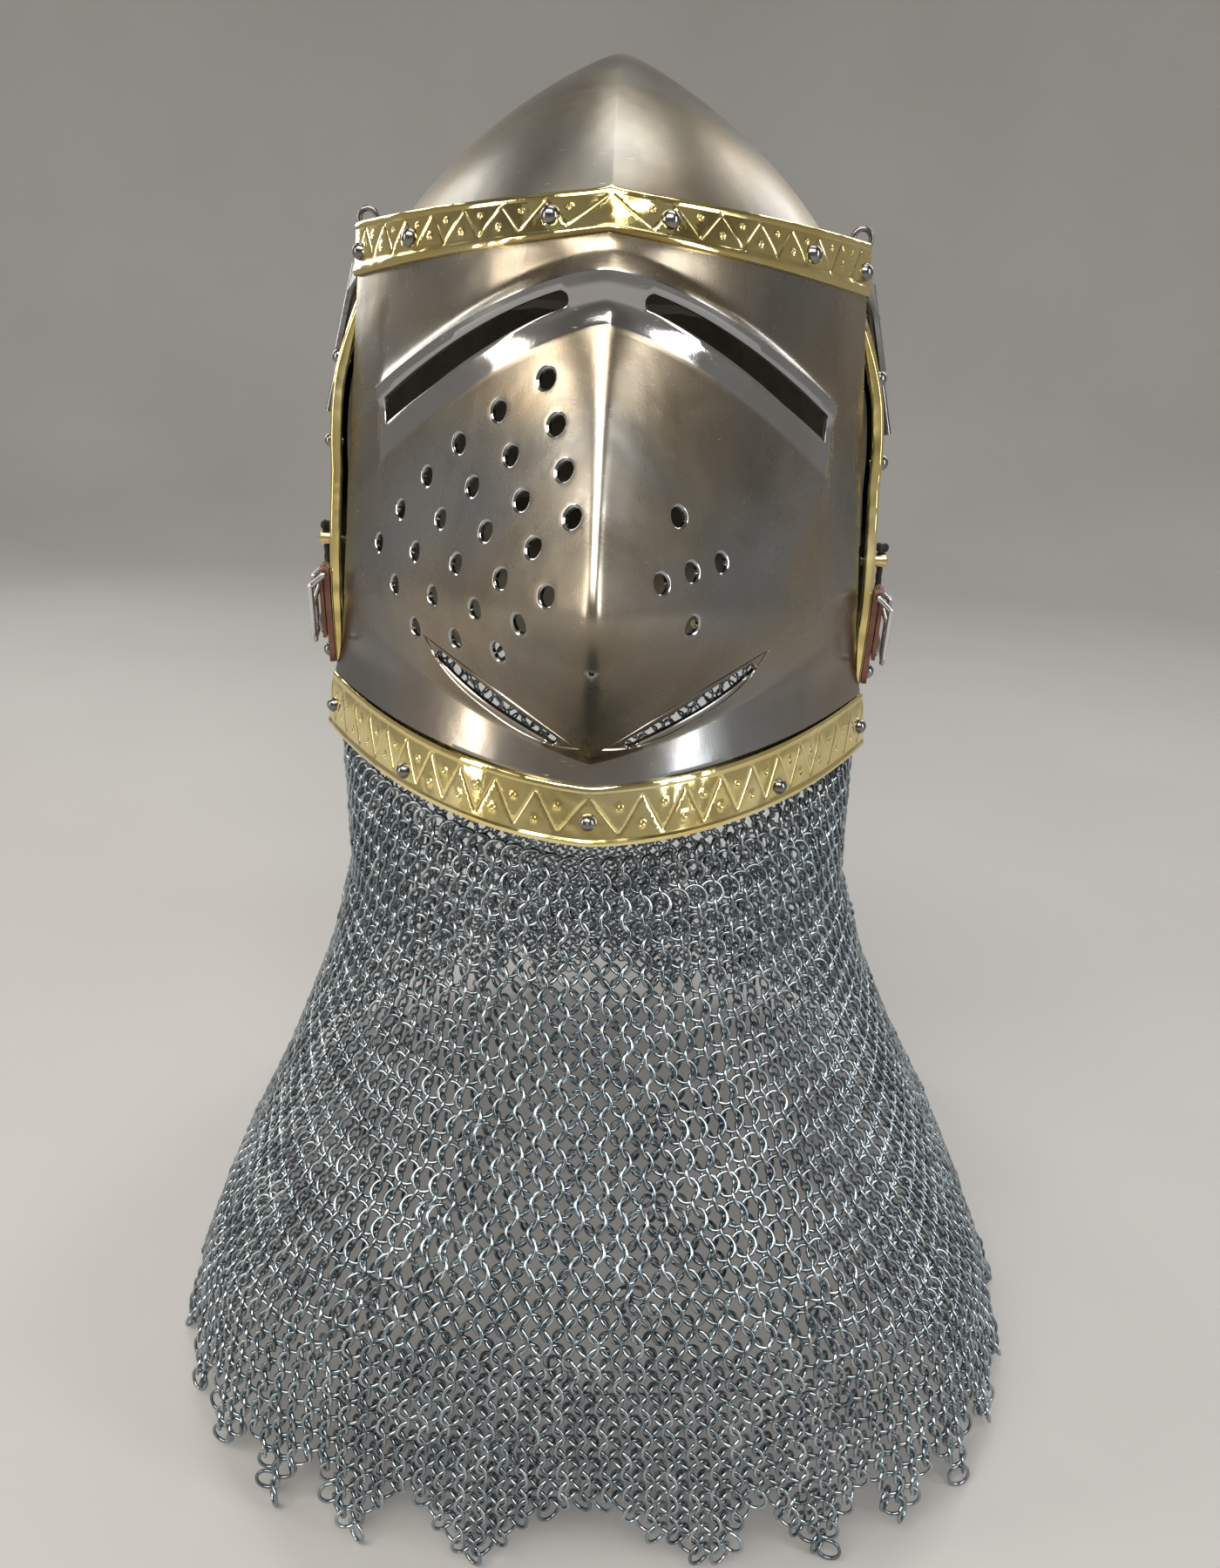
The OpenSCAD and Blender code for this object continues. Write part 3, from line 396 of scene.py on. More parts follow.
def plate_from(tris, outer, inner, **values):
    """A closed plate from one triangulation with outer and inner points. Its attributes have the
    values given on the outer skin, and 0 on the inner one."""
    n = len(outer)
    a, b, c = (outer[tris[:, k]] for k in range(3))
    if (np.cross(b - a, c - a) * (outer - inner)[tris[:, 0]]).sum() < 0:
        tris = tris[:, ::-1]
    used = np.zeros(2 * n, bool)
    faces = [tris, tris[:, ::-1] + n, rim_walls(open_edges(tris, n), n)]
    for f in faces:
        used[f.ravel()] = True
    new = np.cumsum(used) - 1
    attrs = {key: np.concatenate([value, np.zeros(n)])[used] for key, value in values.items()}
    return np.vstack([outer, inner])[used], [new[f] for f in faces], attrs


def loft_grid(points, loop_t, loop_s=True):
    """Quads over a grid of points [section, place, xyz]."""
    n, m = points.shape[:2]
    i = np.arange(n if loop_t else n - 1)
    j = np.arange(m if loop_s else m - 1)
    i, j = np.meshgrid(i, j, indexing="ij")
    a, b = i * m + j, ((i + 1) % n) * m + j
    c, d = ((i + 1) % n) * m + (j + 1) % m, i * m + (j + 1) % m
    return columns(a.ravel(), b.ravel(), c.ravel(), d.ravel())


def fan_caps(points):
    """Closes both ends of an open loft with fans round the middle of each end."""
    n, m = points.shape[:2]
    k = np.arange(m)
    verts = np.vstack([points.reshape(-1, 3), points[0].mean(0), points[-1].mean(0)])
    first = columns(k, (k + 1) % m, np.full(m, n * m))
    last = columns((n - 1) * m + (k + 1) % m, (n - 1) * m + k, np.full(m, n * m + 1))
    return verts, [loft_grid(points, False), first, last]


def tube(centre, one, two, radius, w):
    """Points round a line, at angles w in the plane of the directions one and two."""
    c, s = np.cos(w)[:, None], np.sin(w)[:, None]
    return centre[:, None] + radius * (one[:, None] * c + two[:, None] * s)


def strap_section(half, thick, flat, bend):
    """Across and out, from its middle, of a flat strap's outline with round edges."""
    r = thick / 2
    w = np.linspace(0, math.pi, bend)
    run = np.linspace(half - r, r - half, flat + 2)[1:-1]
    across = np.concatenate([run, r - half - r * np.sin(w), -run, half - r + r * np.sin(w)])
    return across, np.concatenate([np.full(flat, r), r * np.cos(w), np.full(flat, -r), -r * np.cos(w)])


# Materials.
def assign(tree, socket, value):
    """Links a socket to another, or gives it a number, a vector or a colour."""
    if isinstance(value, bpy.types.NodeSocket):
        tree.links.new(value, socket)
    elif hasattr(value, "__len__") and len(socket.default_value) == 4:
        socket.default_value = (*value, 1.0)[:4]
    else:
        socket.default_value = value


def fill_ramp(made, stops):
    while len(made.color_ramp.elements) < len(stops):
        made.color_ramp.elements.new(0.5)
    for element, (place, colour) in zip(made.color_ramp.elements, stops):
        element.position = place
        element.color = (*(colour if hasattr(colour, "__len__") else (colour,) * 3), 1.0)
    return made.outputs["Color"]


class Nodes:
    """A material under construction, with short names for the nodes that it needs."""

    def __init__(self, name, **inputs):
        self.mat = bpy.data.materials.new(name)
        self.mat.use_nodes = True
        self.tree = self.mat.node_tree
        self.bsdf = self.tree.nodes["Principled BSDF"]
        source = self.tree.nodes.new("ShaderNodeTexCoord")
        self.coords = source.outputs["Object"]
        self.normal = source.outputs["Normal"]
        for key, value in inputs.items():
            self.set(key.replace("_", " "), value)

    def set(self, socket, value):
        assign(self.tree, self.bsdf.inputs[socket], value)

    def node(self, kind, links, **props):
        made = self.tree.nodes.new(kind)
        for key, value in props.items():
            setattr(made, key, value)
        for key, value in links.items():
            assign(self.tree, made.inputs[key], value)
        return made

    def stretch(self, x, y, z, turned=(0, 0, 0)):
        links = {"Vector": self.coords, "Scale": (x, y, z), "Rotation": turned}
        return self.node("ShaderNodeMapping", links).outputs[0]

    def noise(self, scale, detail=4.0, rough=0.55, warp=0.0, vector=None):
        links = {"Vector": vector or self.coords, "Scale": scale, "Detail": detail,
                 "Roughness": rough, "Distortion": warp}
        return self.node("ShaderNodeTexNoise", links).outputs["Fac"]

    def ramp(self, value, *stops):
        return fill_ramp(self.node("ShaderNodeValToRGB", {"Fac": value}), stops)

    def mix(self, factor, a, b, blend="MIX"):
        links = {0: factor, 6: a, 7: b}
        return self.node("ShaderNodeMix", links, data_type="RGBA", blend_type=blend).outputs[2]

    def product(self, a, b):
        return self.node("ShaderNodeMath", {0: a, 1: b}, operation="MULTIPLY").outputs[0]

    def attribute(self, name):
        return self.node("ShaderNodeAttribute", {}, attribute_name=name).outputs["Fac"]

    def bump(self, height, distance, strength=1.0, under=None):
        links = {"Height": height, "Distance": distance, "Strength": strength}
        if under is not None:
            links["Normal"] = under
        return self.node("ShaderNodeBump", links).outputs["Normal"]


def steel(name, dark, light, rough_low, rough_high, polish=0.0):
    """Satin plate: finely brushed, tinted here and there by heat, with hairline scratches. With polish,
    also painted shade: darker where the plate faces down, lighter where it faces up.
    """
    n = Nodes(name, Metallic=1.0)
    broad = n.noise(8, 3, 0.5, 0.8)
    cloud = n.noise(30, 6, 0.62, 0.5)
    tint = n.ramp(broad, (0.34, dark), (0.5, [(d + l) / 2 for d, l in zip(dark, light)]), (0.66, light))
    heat = n.ramp(n.noise(6.5, 2, 0.5, 1.4), (0.34, (0.90, 0.97, 1.06)), (0.46, (1.02, 0.98, 0.90)),
                  (0.58, (1.10, 0.93, 0.68)), (0.72, (1.05, 0.84, 0.60)))
    tint = n.mix(0.85, tint, heat, "MULTIPLY")
    tint = n.mix(n.ramp(cloud, (0.42, 0.0), (0.7, 0.35)), tint, dark)
    brush = n.noise(900, 2, 0.6, 0, n.stretch(1.0, 1.0, 0.04))
    cross = n.noise(1100, 2, 0.6, 0, n.stretch(0.05, 1.0, 1.0, (0.2, 0.3, 0.5)))
    scratch = n.noise(1500, 2, 0.4, 0, n.stretch(0.02, 0.3, 1.0, (0.5, 0.9, 0.3)))
    scratch = n.ramp(scratch, (0.72, 0.0), (0.77, 1.0))
    tint = n.mix(n.product(scratch, 0.3), tint, (0.75, 0.74, 0.72))
    rough = n.ramp(cloud, (0.3, rough_low), (0.7, rough_high))
    rough = n.mix(0.08, rough, n.ramp(brush, (0.35, rough_low * 0.8), (0.65, rough_high * 1.1)))
    if polish:
        # Painted shade: the tone is multiplied darker where the plate's normal points down and lighter
        # where it points up.
        facing = n.node("ShaderNodeSeparateXYZ", {0: n.normal}).outputs["Z"]
        half = n.node("ShaderNodeMath", {0: facing, 1: 0.5, 2: 0.5}, operation="MULTIPLY_ADD").outputs[0]
        painted_facing_shade = n.ramp(half, (0.22, 0.42), (0.46, 0.95), (0.72, 1.35))
        tint = n.mix(1.0, tint, painted_facing_shade, "MULTIPLY")
        shine = n.attribute("polish")
        rough = n.mix(shine, rough, n.ramp(cloud, (0.35, polish), (0.7, polish * 2.0)))
        tint = n.mix(n.product(shine, 0.6), tint, (0.56, 0.57, 0.60))
        cut = n.attribute("groove")
        tint = n.mix(n.product(cut, 0.85), tint, (0.04, 0.035, 0.03))
    n.set("Base Color", tint)
    n.set("Roughness", rough)
    under = n.bump(brush, 0.00001)
    under = n.bump(cross, 0.000015, 1.0, under)
    under = n.bump(n.noise(40, 2, 0.5), 0.0004, 1.0, under)
    n.set("Normal", n.bump(scratch, 0.00004, 0.5, under))
    return n.mat


def brass():
    n = Nodes("brass", Metallic=1.0)
    tone = n.ramp(n.noise(18, 4, 0.55, 0.8), (0.3, (0.84, 0.66, 0.24)), (0.55, (0.93, 0.79, 0.36)),
                  (0.8, (0.98, 0.89, 0.52)))
    # Darker and rougher in the cut grooves, the punched rings and along the foot of the raised bead.
    hollow_darkening = n.attribute("groove")
    n.set("Base Color", n.mix(n.product(hollow_darkening, 0.6), tone, (0.22, 0.12, 0.02)))
    n.set("Roughness", n.mix(hollow_darkening, n.ramp(n.noise(60, 5, 0.6), (0.3, 0.05), (0.7, 0.13)), (0.3, 0.3, 0.3)))
    under = n.bump(n.noise(30, 2, 0.5, 0.5), 0.0022)
    n.set("Normal", n.bump(n.noise(600, 3, 0.6, 0, n.stretch(1, 1, 0.15)), 0.00003, 1.0, under))
    return n.mat


def plain_metal(name, dark, light, rough_low, rough_high, grain=0.00003):
    n = Nodes(name, Metallic=1.0)
    n.set("Base Color", n.ramp(n.noise(70, 4, 0.6), (0.3, dark), (0.7, light)))
    n.set("Roughness", n.ramp(n.noise(240, 4, 0.6), (0.3, rough_low), (0.7, rough_high)))
    n.set("Normal", n.bump(n.noise(500, 3, 0.6), grain))
    return n.mat


def mail_metal():
    n = Nodes("mail", Metallic=1.0)
    base = n.ramp(n.attribute("tone"), (0.0, (0.18, 0.21, 0.23)), (0.5, (0.30, 0.345, 0.37)),
                  (1.0, (0.48, 0.53, 0.55)))
    dull = n.ramp(n.noise(160, 4, 0.6), (0.5, 0.0), (0.75, 0.5))
    n.set("Base Color", n.mix(dull, base, (0.22, 0.25, 0.28)))
    n.set("Roughness", n.ramp(n.noise(300, 3, 0.6), (0.3, 0.11), (0.7, 0.22)))
    n.set("Normal", n.bump(n.noise(900, 3, 0.6), 0.00003))
    return n.mat


def leather(name, dark, light):
    n = Nodes(name, Coat_Weight=0.15, Coat_Roughness=0.35)
    pores = n.node("ShaderNodeTexVoronoi", {"Vector": n.coords, "Scale": 900}).outputs["Distance"]
    creases = n.noise(120, 5, 0.65, 0.6)
    base = n.ramp(creases, (0.3, dark), (0.7, light))
    worn = n.ramp(n.noise(30, 3, 0.6), (0.5, 0.0), (0.8, 0.6))
    n.set("Base Color", n.mix(worn, base, [c * 1.5 + 0.02 for c in light]))
    n.set("Roughness", n.ramp(creases, (0.3, 0.42), (0.7, 0.68)))
    under = n.bump(creases, 0.0003)
    n.set("Normal", n.bump(pores, 0.00012, 0.8, under))
    return n.mat


def cloth(name, dark, light, thread=1500.0, fuzz=0.25):
    n = Nodes(name, Sheen_Weight=fuzz, Sheen_Roughness=0.6)
    waves = [n.node("ShaderNodeTexWave", {"Vector": vector, "Scale": thread, "Distortion": 0.6},
                    bands_direction=way).outputs["Fac"]
             for vector, way in ((n.stretch(1, 1, 0), "X"), (n.coords, "Z"))]
    weave = n.product(*waves)
    slub = n.noise(90, 5, 0.6, 0.3)
    gaps = n.ramp(weave, (0.0, 0.25), (1.0, 0.0))
    n.set("Base Color", n.mix(gaps, n.ramp(slub, (0.3, dark), (0.7, light)), [c * 0.5 for c in dark]))
    n.set("Roughness", n.ramp(slub, (0.3, 0.82), (0.7, 0.95)))
    n.set("Normal", n.bump(weave, 0.0002, 0.8, n.bump(slub, 0.0008)))
    return n.mat


STEEL_VISOR = steel("steel_visor", (0.20, 0.188, 0.168), (0.37, 0.36, 0.34), 0.22, 0.33, 0.08)
STEEL_SKULL = steel("steel_skull", (0.20, 0.19, 0.17), (0.36, 0.35, 0.32), 0.31, 0.42)
BRASS = brass()
BRASS_STUD = plain_metal("brass_stud", (0.72, 0.55, 0.22), (0.88, 0.72, 0.36), 0.16, 0.3)
RIVET = plain_metal("rivet_metal", (0.17, 0.165, 0.16), (0.30, 0.29, 0.28), 0.13, 0.24)
CHROME = plain_metal("chrome", (0.60, 0.60, 0.61), (0.72, 0.72, 0.73), 0.06, 0.14, 0.00001)
HINGE = plain_metal("hinge_metal", (0.33, 0.33, 0.33), (0.46, 0.46, 0.46), 0.22, 0.38)
MAIL = mail_metal()
LEATHER_DARK = leather("leather_dark", (0.030, 0.018, 0.012), (0.075, 0.043, 0.028))
LEATHER_RED = leather("leather_red", (0.085, 0.030, 0.018), (0.19, 0.075, 0.045))
LINEN = cloth("linen", (0.27, 0.23, 0.165), (0.41, 0.36, 0.275))
CORD_BLACK = cloth("cord_black", (0.006, 0.006, 0.006), (0.02, 0.02, 0.02), 2500.0, 0.1)

for mat, *starts in (
    (RIVET, "trim_rivets", "top_band_rivets", "bottom_band_rivets", "liner_rivets", "buckle_rivets",
     "hinge_pin", "pivot_bolts", "pivot_spacers", "pivot_washers", "pivot_nuts"),
    (HINGE, "hinge_leaf", "pivot_arm"),
    (BRASS_STUD, "vervelles"),
    (LEATHER_RED, "buckle_tab"),
    (CHROME, "buckle_frame", "buckle_tongue"),
):
    for name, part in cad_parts.items():
        if name.startswith(tuple(starts)):
            for holder in part.material_slots:
                holder.material = mat


# Skull.
def opened(z, y0, z0, radius):
    """Y of the face opening's edge at a level."""
    y = np.full_like(z, y0)
    arc = (z > z0 - radius)
    y[arc] = y0 - radius + np.sqrt(np.maximum(0, radius ** 2 - (z[arc] - z0 + radius) ** 2))
    return y


def shell_columns(count, corner_turn):
    """Angles all round, finer at the keel, with the opening's corners among them."""
    base = np.linspace(0, math.pi, count // 2 + 1)
    base = base[np.abs(base - corner_turn) > 0.4 * base[1]]
    half = np.sort(np.concatenate([base, [corner_turn], np.radians([0.4, 0.8, 1.3, 2.0])]))
    return np.concatenate([half, 2 * math.pi - half[-2:0:-1]])


def shell(name, mat, node, slot, count, rows_up, rows_down, cut, outer, inner, tops):
    """A bowl with a face opening: whole rows above the brow, open rows below it."""
    y0, z0, radius, step = cut
    corner = float(turn(y0 - radius, z0))
    t = shell_columns(count, corner)
    n = len(t)
    keep = np.nonzero((t >= corner - 1e-9) & (t <= 2 * math.pi - corner + 1e-9))[0]
    low = t[keep]
    y_edge = opened(rows_down, y0, z0, radius)
    if step:
        fall = np.minimum(4, np.abs(rows_down - step + 4))
        y_edge = np.where(rows_down < step - 0.01, y0 + 5 + np.sqrt(np.maximum(0, 16 - fall ** 2)), y_edge)
        y_edge = np.where(rows_down < step - 4, y0 + 9, y_edge)
    edge = turn(y_edge, rows_down)
    spread = (low - corner) / (2 * math.pi - 2 * corner)
    down_t = edge[:, None] + spread[None] * (2 * math.pi - 2 * edge[:, None])
    up = np.broadcast_arrays(t, rows_up[:, None])
    down = np.broadcast_arrays(down_t, rows_down[:, None])
    verts = []
    for place, top in zip((outer, inner), tops):
        verts.append(np.vstack([[0, MIDDLE + APEX_BACK, top], *place(*up), *place(*down)]))
    size = len(verts[0])
    k = np.arange(n)
    fan = columns(np.zeros(n, int), 1 + (k + 1) % n, 1 + k)
    whole = 1 + np.arange(len(rows_up) * n).reshape(-1, n)
    whole = columns(whole, whole[:, :1])
    m, start = len(keep), 1 + len(rows_up) * n
    opening = np.vstack([whole[-1, keep], start + np.arange(len(rows_down) * m).reshape(-1, m)])
    quads = np.vstack([np.stack([g[:-1, :-1], g[:-1, 1:], g[1:, 1:], g[1:, :-1]], -1).reshape(-1, 4)
                       for g in (whole, opening)])
    rim = open_edges(quads, size)
    rim = rim[~((rim < 1 + n) & (rim > 0)).all(1)]
    faces = [quads, quads[:, ::-1] + size, rim_walls(rim, size), fan, fan[:, ::-1] + size]
    return add_mesh(name, np.vstack(verts), [f[:, ::-1] for f in faces], mat, "skull_body", node, slot)


def rows_above(low, first, n):
    """Levels from near the apex down to low, closer together towards the apex."""
    last = math.sqrt(1 - (BELT - low) / (BELT + APEX))
    rows = -BELT + (APEX + BELT) * (1 - np.linspace(first, last, n) ** 2)
    rows[-1] = -low
    return rows


step_rows = [-241.05, -241.6, -242.4, -243.4, -244.4, -245.2]
down_rows = np.concatenate([np.linspace(-BROW - 0.6, -BROW - CORNER, 12), np.linspace(-86, -241, 64),
                            step_rows, np.linspace(-246.5, -RIM, 6)])
shell("skull_shell", STEEL_SKULL, "skull", "steel", 240, rows_above(BROW, 0.02, 70), down_rows,
      (-CHEEK, -BROW, CORNER, -241.0), skull, lambda t, z: skull(t, z, -PLATE), (APEX, APEX - PLATE))


# Visor plate.
SCALE_U = 118.0
LENGTHS = lengths(visor(TABLE_ROWS, 0.4))


def to_flat(a, r):
    return columns(a * SCALE_U, np.interp(r, TABLE_ROWS, LENGTHS))


def from_flat(uv):
    return uv[:, 0] / SCALE_U, np.interp(uv[:, 1], LENGTHS, TABLE_ROWS)


def ridge(x):
    return -71.3 - 44.5 * (np.abs(x) / 92) ** 1.55


def grown(loop, by):
    """A closed loop moved outwards, square to itself."""
    nxt, prv = np.roll(loop, -1, 0), np.roll(loop, 1, 0)
    d = unit(nxt - prv)
    normal = columns(d[:, 1], -d[:, 0])
    area = (loop[:, 0] * nxt[:, 1] - nxt[:, 0] * loop[:, 1]).sum()
    return loop + normal * (by if area > 0 else -by)


def sight_loop():
    x = np.linspace(15.8, 89, 60)
    top = ridge(x) - 3
    low = top - np.minimum(10, 5.6 + 0.08 * (x - 13))
    w = np.radians(np.linspace(250, 110, 8))
    centre = (top[0] + low[0]) / 2
    nose = columns(x[0] + 2.8 * np.cos(w), centre + 2.8 * np.sin(w))
    end = columns(np.full(5, 89.0), np.linspace(top[-1], low[-1], 7)[1:-1])
    return np.vstack([columns(x, top), end, columns(x, low)[::-1], nose])


def mouth_loop():
    run, tilt = math.hypot(46.5, 22.1), math.atan2(22.1, 46.5)
    w1, w2 = np.radians(np.linspace(90, 270, 10)), np.radians(np.linspace(-90, 90, 10))
    line = np.linspace(0, 1, 34)[1:-1]
    swell = np.sin(np.pi * line ** 1.5)
    flat = np.vstack([
        columns(2 * np.cos(w1), 2 * np.sin(w1)),
        columns(line * run, -2 - 1.5 * swell),
        columns(run + 2 * np.cos(w2), 2 * np.sin(w2)),
        columns(line[::-1] * run, 2 + 0.7 * swell[::-1]),
    ])
    c, s = math.cos(tilt), math.sin(tilt)
    return columns(15 + flat[:, 0] * c - flat[:, 1] * s, -232.6 + flat[:, 0] * s + flat[:, 1] * c)


def almond(offset):
    """The engraved outline round a mouth slot, moved outwards by offset."""
    a, b = np.array([5.0, -234.0]), np.array([68.5, -204.5])
    d = unit(b - a)
    up = np.array([-d[1], d[0]])
    w = np.linspace(0, 1, 44)[:, None]
    a, b = a - d * offset * 2.2, b + d * offset * 2.2
    top = a + (b - a) * w + up * ((2.6 + offset) * (1 - (2 * w - 1) ** 2))
    low = a + (b - a) * w - up * ((8.4 + offset) * (1 - np.abs(2 * w - 1) ** 3))
    return np.vstack([top, low[::-1][1:-1]])


def visor_plate():
    def flat_of(points):
        return to_flat(*from_front(points))

    def ring(*circle):
        return to_flat(*ring_on_visor(*circle))

    def both(points):
        return [points, points * [-1, 1]]

    height = LENGTHS[-1]
    outline = resample([[-SCALE_U, 0], [SCALE_U, 0], [SCALE_U, height], [-SCALE_U, height]], 1.6, True)
    holes, marks = [], []
    for shape, depth, margin in ((sight_loop(), -0.35, 0.45), (mouth_loop(), -0.5, 0.7)):
        for loop in both(shape):
            holes.append((flat_of(loop), depth))
            marks.append((flat_of(grown(loop, margin)), 0.0, True))
    for offset, depth in ((-0.45, 0.0), (-0.12, -0.55), (0.12, -0.55), (0.45, 0.0)):
        for loop in both(almond(offset)):
            marks.append((flat_of(loop), depth, True))
    spots = [(-(19.3 + 18.3 * j - 0.7 * j * j - i * (3.6 + 1.05 * j) - 0.12 * i * i * j),
              -(105.6 + 11 * j + 0.56 * j * j + 14 * i))
             for i in range(5) for j in range(0 if i < 4 else 1, 6 - max(0, i - 2))]
    spots += [(33.7, -167), (28, -148.4), (35, -186), (22.7, -169), (45.1, -165.8)]
    for x, z in spots:
        holes.append((ring(x, z, BREATH), -0.6))
        marks += [(ring(x, z, BREATH + 0.75), -0.04, True), (ring(x, z, BREATH + 1.0), 0.0, True)]
    holes.append((ring(0, -198, 1.0, 14), -0.2))
    level = np.arange(-SCALE_U + 1.6, SCALE_U - 0.8, 1.55)
    for row in (3, 6, 12, 13, 14):
        v = np.interp(row, TABLE_ROWS, LENGTHS)
        marks.append((columns(level, np.full(len(level), v)), None, False))
    for x in (RIB_END - 3, RIB_END):
        r = np.linspace(2.2, 6.9, 50)
        a = np.full(50, x / 110)
        for _ in range(8):
            a = x / visor_width(visor_at(r, a)[:, 2])
        for line in both(to_flat(a, r)):
            marks.append((line, None, False))
    lines = [LENGTHS[c * 100] for c in CREASES]
    rows = np.concatenate([np.linspace(a, b, max(2, int(round((b - a) / 1.55))) + 1)[:-1]
                           for a, b in zip(lines[:-1], lines[1:])])[1:]
    fine = np.sort(np.concatenate([np.arange(-76, 77) * 1.55, [-0.55, 0.55]]))
    fine = fine[np.abs(fine) < SCALE_U - 0.8]
    grid = np.array([(u, v) for v in rows for u in fine])
    uv, tris, h = sheet_mesh(outline, holes, marks, grid, 0.8)
    a, r = from_flat(uv)
    depth = np.where(np.isnan(h), 0.0, h)
    outer, inner = visor(r, a, depth), visor(r, a, -PLATE)
    shine = ((r > 2.999) & (r < 5.999) & (np.abs(outer[:, 0]) < RIB_END)) * 1.0
    shine = np.maximum(shine, 0.3 * smooth((r - 11.9) / 0.4) * (1 - smooth((r - 13) / 0.5)))
    shine = np.maximum(shine, (depth < -0.03) * 1.0)
    cut = (np.abs(depth + 0.55) < 0.01) * 1.0
    verts, faces, attrs = plate_from(tris, outer, inner, polish=shine, groove=cut)
    add_mesh("visor_steel", verts, faces, STEEL_VISOR, "visor", "visor_plate", "steel", attrs=attrs)


visor_plate()


# Engraved brass.
STROKE = 9.2


def strokes(half, width, first):
    """A zigzag with a peak in the middle, as straight cuts, and the punched rings beside it."""
    cuts, dots = [], []
    for sign in (1, -1):
        at, top = 0.0, False
        while at < half - 2:
            nxt = at + (first if at == 0 else STROKE)
            y0, y1 = (0.8, 0.2) if top else (0.2, 0.8)
            step = min(1.0, (half - 1.5 - at) / (nxt - at))
            a = np.array([sign * (at + 0.5), y0 * width])
            b = np.array([sign * (at + (nxt - at) * step - 0.5), (y0 + (y1 - y0) * step) * width])
            if step > 0.4:
                cuts.append(np.array([a, b]))
            top = not top
            at = nxt
            if at < half - 3:
                dots.append((sign * at, (0.36 if top else 0.66) * width))
    return cuts, dots


def engraved(name, node, body, place, reach, width, first, bead):
    """A brass band: place(s, q) gives points and normals, s along it in mm, q across it."""
    cuts, dots = strokes(reach[1], width, first)
    outline = resample([[reach[0], 0], [reach[1], 0], [reach[1], width], [reach[0], width]], 1.3, True)
    marks = []
    for cut in cuts:
        d = unit(cut[1] - cut[0])
        n = np.array([-d[1], d[0]])
        for shift, end in ((-0.5, 0.3), (0.0, 0.0), (0.5, 0.3)):
            line = np.array([cut[0] + n * shift + d * end, cut[1] + n * shift - d * end])
            marks.append((resample(line, 1.4), None, False))
    w = np.arange(12) * math.pi / 6
    for x, y in dots:
        for radius in (0.4, 0.85, 1.3, 1.75):
            marks.append((columns(x + radius * np.cos(w), y + radius * np.sin(w)), None, True))
    share = np.array([0.03, 0.07, 0.11, 0.15])
    inner = np.linspace(0.2, 0.8, max(4, int(width * 0.6 / 1.3)))
    rows = np.concatenate([share, inner, 1 - share[::-1]]) * width
    along = np.arange(reach[0] + 0.7, reach[1] - 0.6, 1.3)
    grid = np.array([(s, v) for v in rows for s in along])
    uv, tris, h = sheet_mesh(outline, [], marks, grid, 0.45)
    q = uv[:, 1] / width
    edge = np.minimum(q, 1 - q) * width
    raised = bead * np.sqrt(np.clip(1 - ((edge - 1.15) / 1.25) ** 2, 0, 1))
    groove = np.clip(1 - nearest(uv, cuts) / 0.5, 0, 1)
    rings = np.zeros(len(uv))
    for x, y in dots:
        d = np.hypot(uv[:, 0] - x, uv[:, 1] - y)
        rings += np.interp(d, [0, 0.4, 0.85, 1.3, 1.75], [0.05, 0.0, -0.35, 0.14, 0])
    base, normal, out, inn = place(uv[:, 0], q)
    top = out + raised - 0.26 * groove + rings
    # Darkening mask: the cut grooves, the punched rings and a line along the foot of the raised bead.
    hollow_darkening = np.clip(groove * 0.8 + np.clip(-rings * 2.6, 0, 1) + (edge > 2.2) * (edge < 2.8) * 0.3, 0, 1)
    verts, faces, attrs = plate_from(tris, base + top[:, None] * normal, base + inn * normal, groove=hollow_darkening)
    add_mesh(name, verts, faces, BRASS, body, node, "brass", 30.0, attrs)


def band_on_visor(name, node, start, width, first):
    a = np.linspace(-1, 1, 1201)
    s = lengths(visor(start + 0.5, a, 1.0))
    s -= s[600]

    def place(along, q):
        at = np.interp(along, s, a)
        r = start + q
        return visor(r, at), visor_normal(r, at), SEAT + BAND_THICK, SEAT
    engraved(name, node, "visor", place, (s[0], s[-1]), width, first, 0.6)


band_on_visor("top_band_brass", "visor_top_band", 0, 17.0, 14.5)
band_on_visor("bottom_band_brass", "visor_bottom_band", 14, 22.5, 12.0)


def folded_edge(name, place, reach):
    """The brass turned over the plate's cut edge, along the same line as its strip."""
    section = np.array([[2.0, 1.56], [-0.4, 1.56], [-0.9, 1.35], [-1.15, 0.9], [-1.15, -2.2], [-0.9, -2.7],
                        [-0.4, -2.95], [1.1, -2.95], [1.1, -2.1], [-0.1, -2.1], [-0.1, 0.3], [2.0, 0.3]])
    pts = []
    for along in np.linspace(reach[0], reach[1], int((reach[1] - reach[0]) / 2.5)):
        base, normal, _, _ = place(along, section[:, 0] / STRIP)
        pts.append(base + section[:, 1:] * normal)
    verts, faces = fan_caps(np.array(pts))
    add_mesh(name, verts, faces, BRASS, "skull_body", None, "brass", 50.0, {"groove": np.zeros(len(verts))})


def strip_place(mirror):
    """The cheek strip: along its middle line from the low end up and round the corner."""
    u = np.concatenate([np.linspace(0, 1, 401), np.linspace(1, 2, 101)[1:]])

    def point(u, across):
        bend = np.pi / 2 * (u - 1)
        y = np.where(u < 1, -CHEEK + across, -CHEEK - CORNER + (CORNER + across) * np.cos(bend))
        z = np.where(u < 1, -STRIP_LOW + (STRIP_LOW - BROW - CORNER) * u,
                     -BROW - CORNER + (CORNER + across) * np.sin(bend))
        return turn(y, z), z
    s = lengths(skull(*point(u, STRIP / 2)))
    middle = s[-1] / 2

    def place(along, q):
        at = np.interp(along + middle, s, u)
        t, z = point(at, q * STRIP)
        flip = np.array([-1.0 if mirror else 1.0, 1, 1])
        return skull(t, z) * flip, skull_normal(t, z) * flip, SAG + STRIP_THICK, SAG
    return place, middle


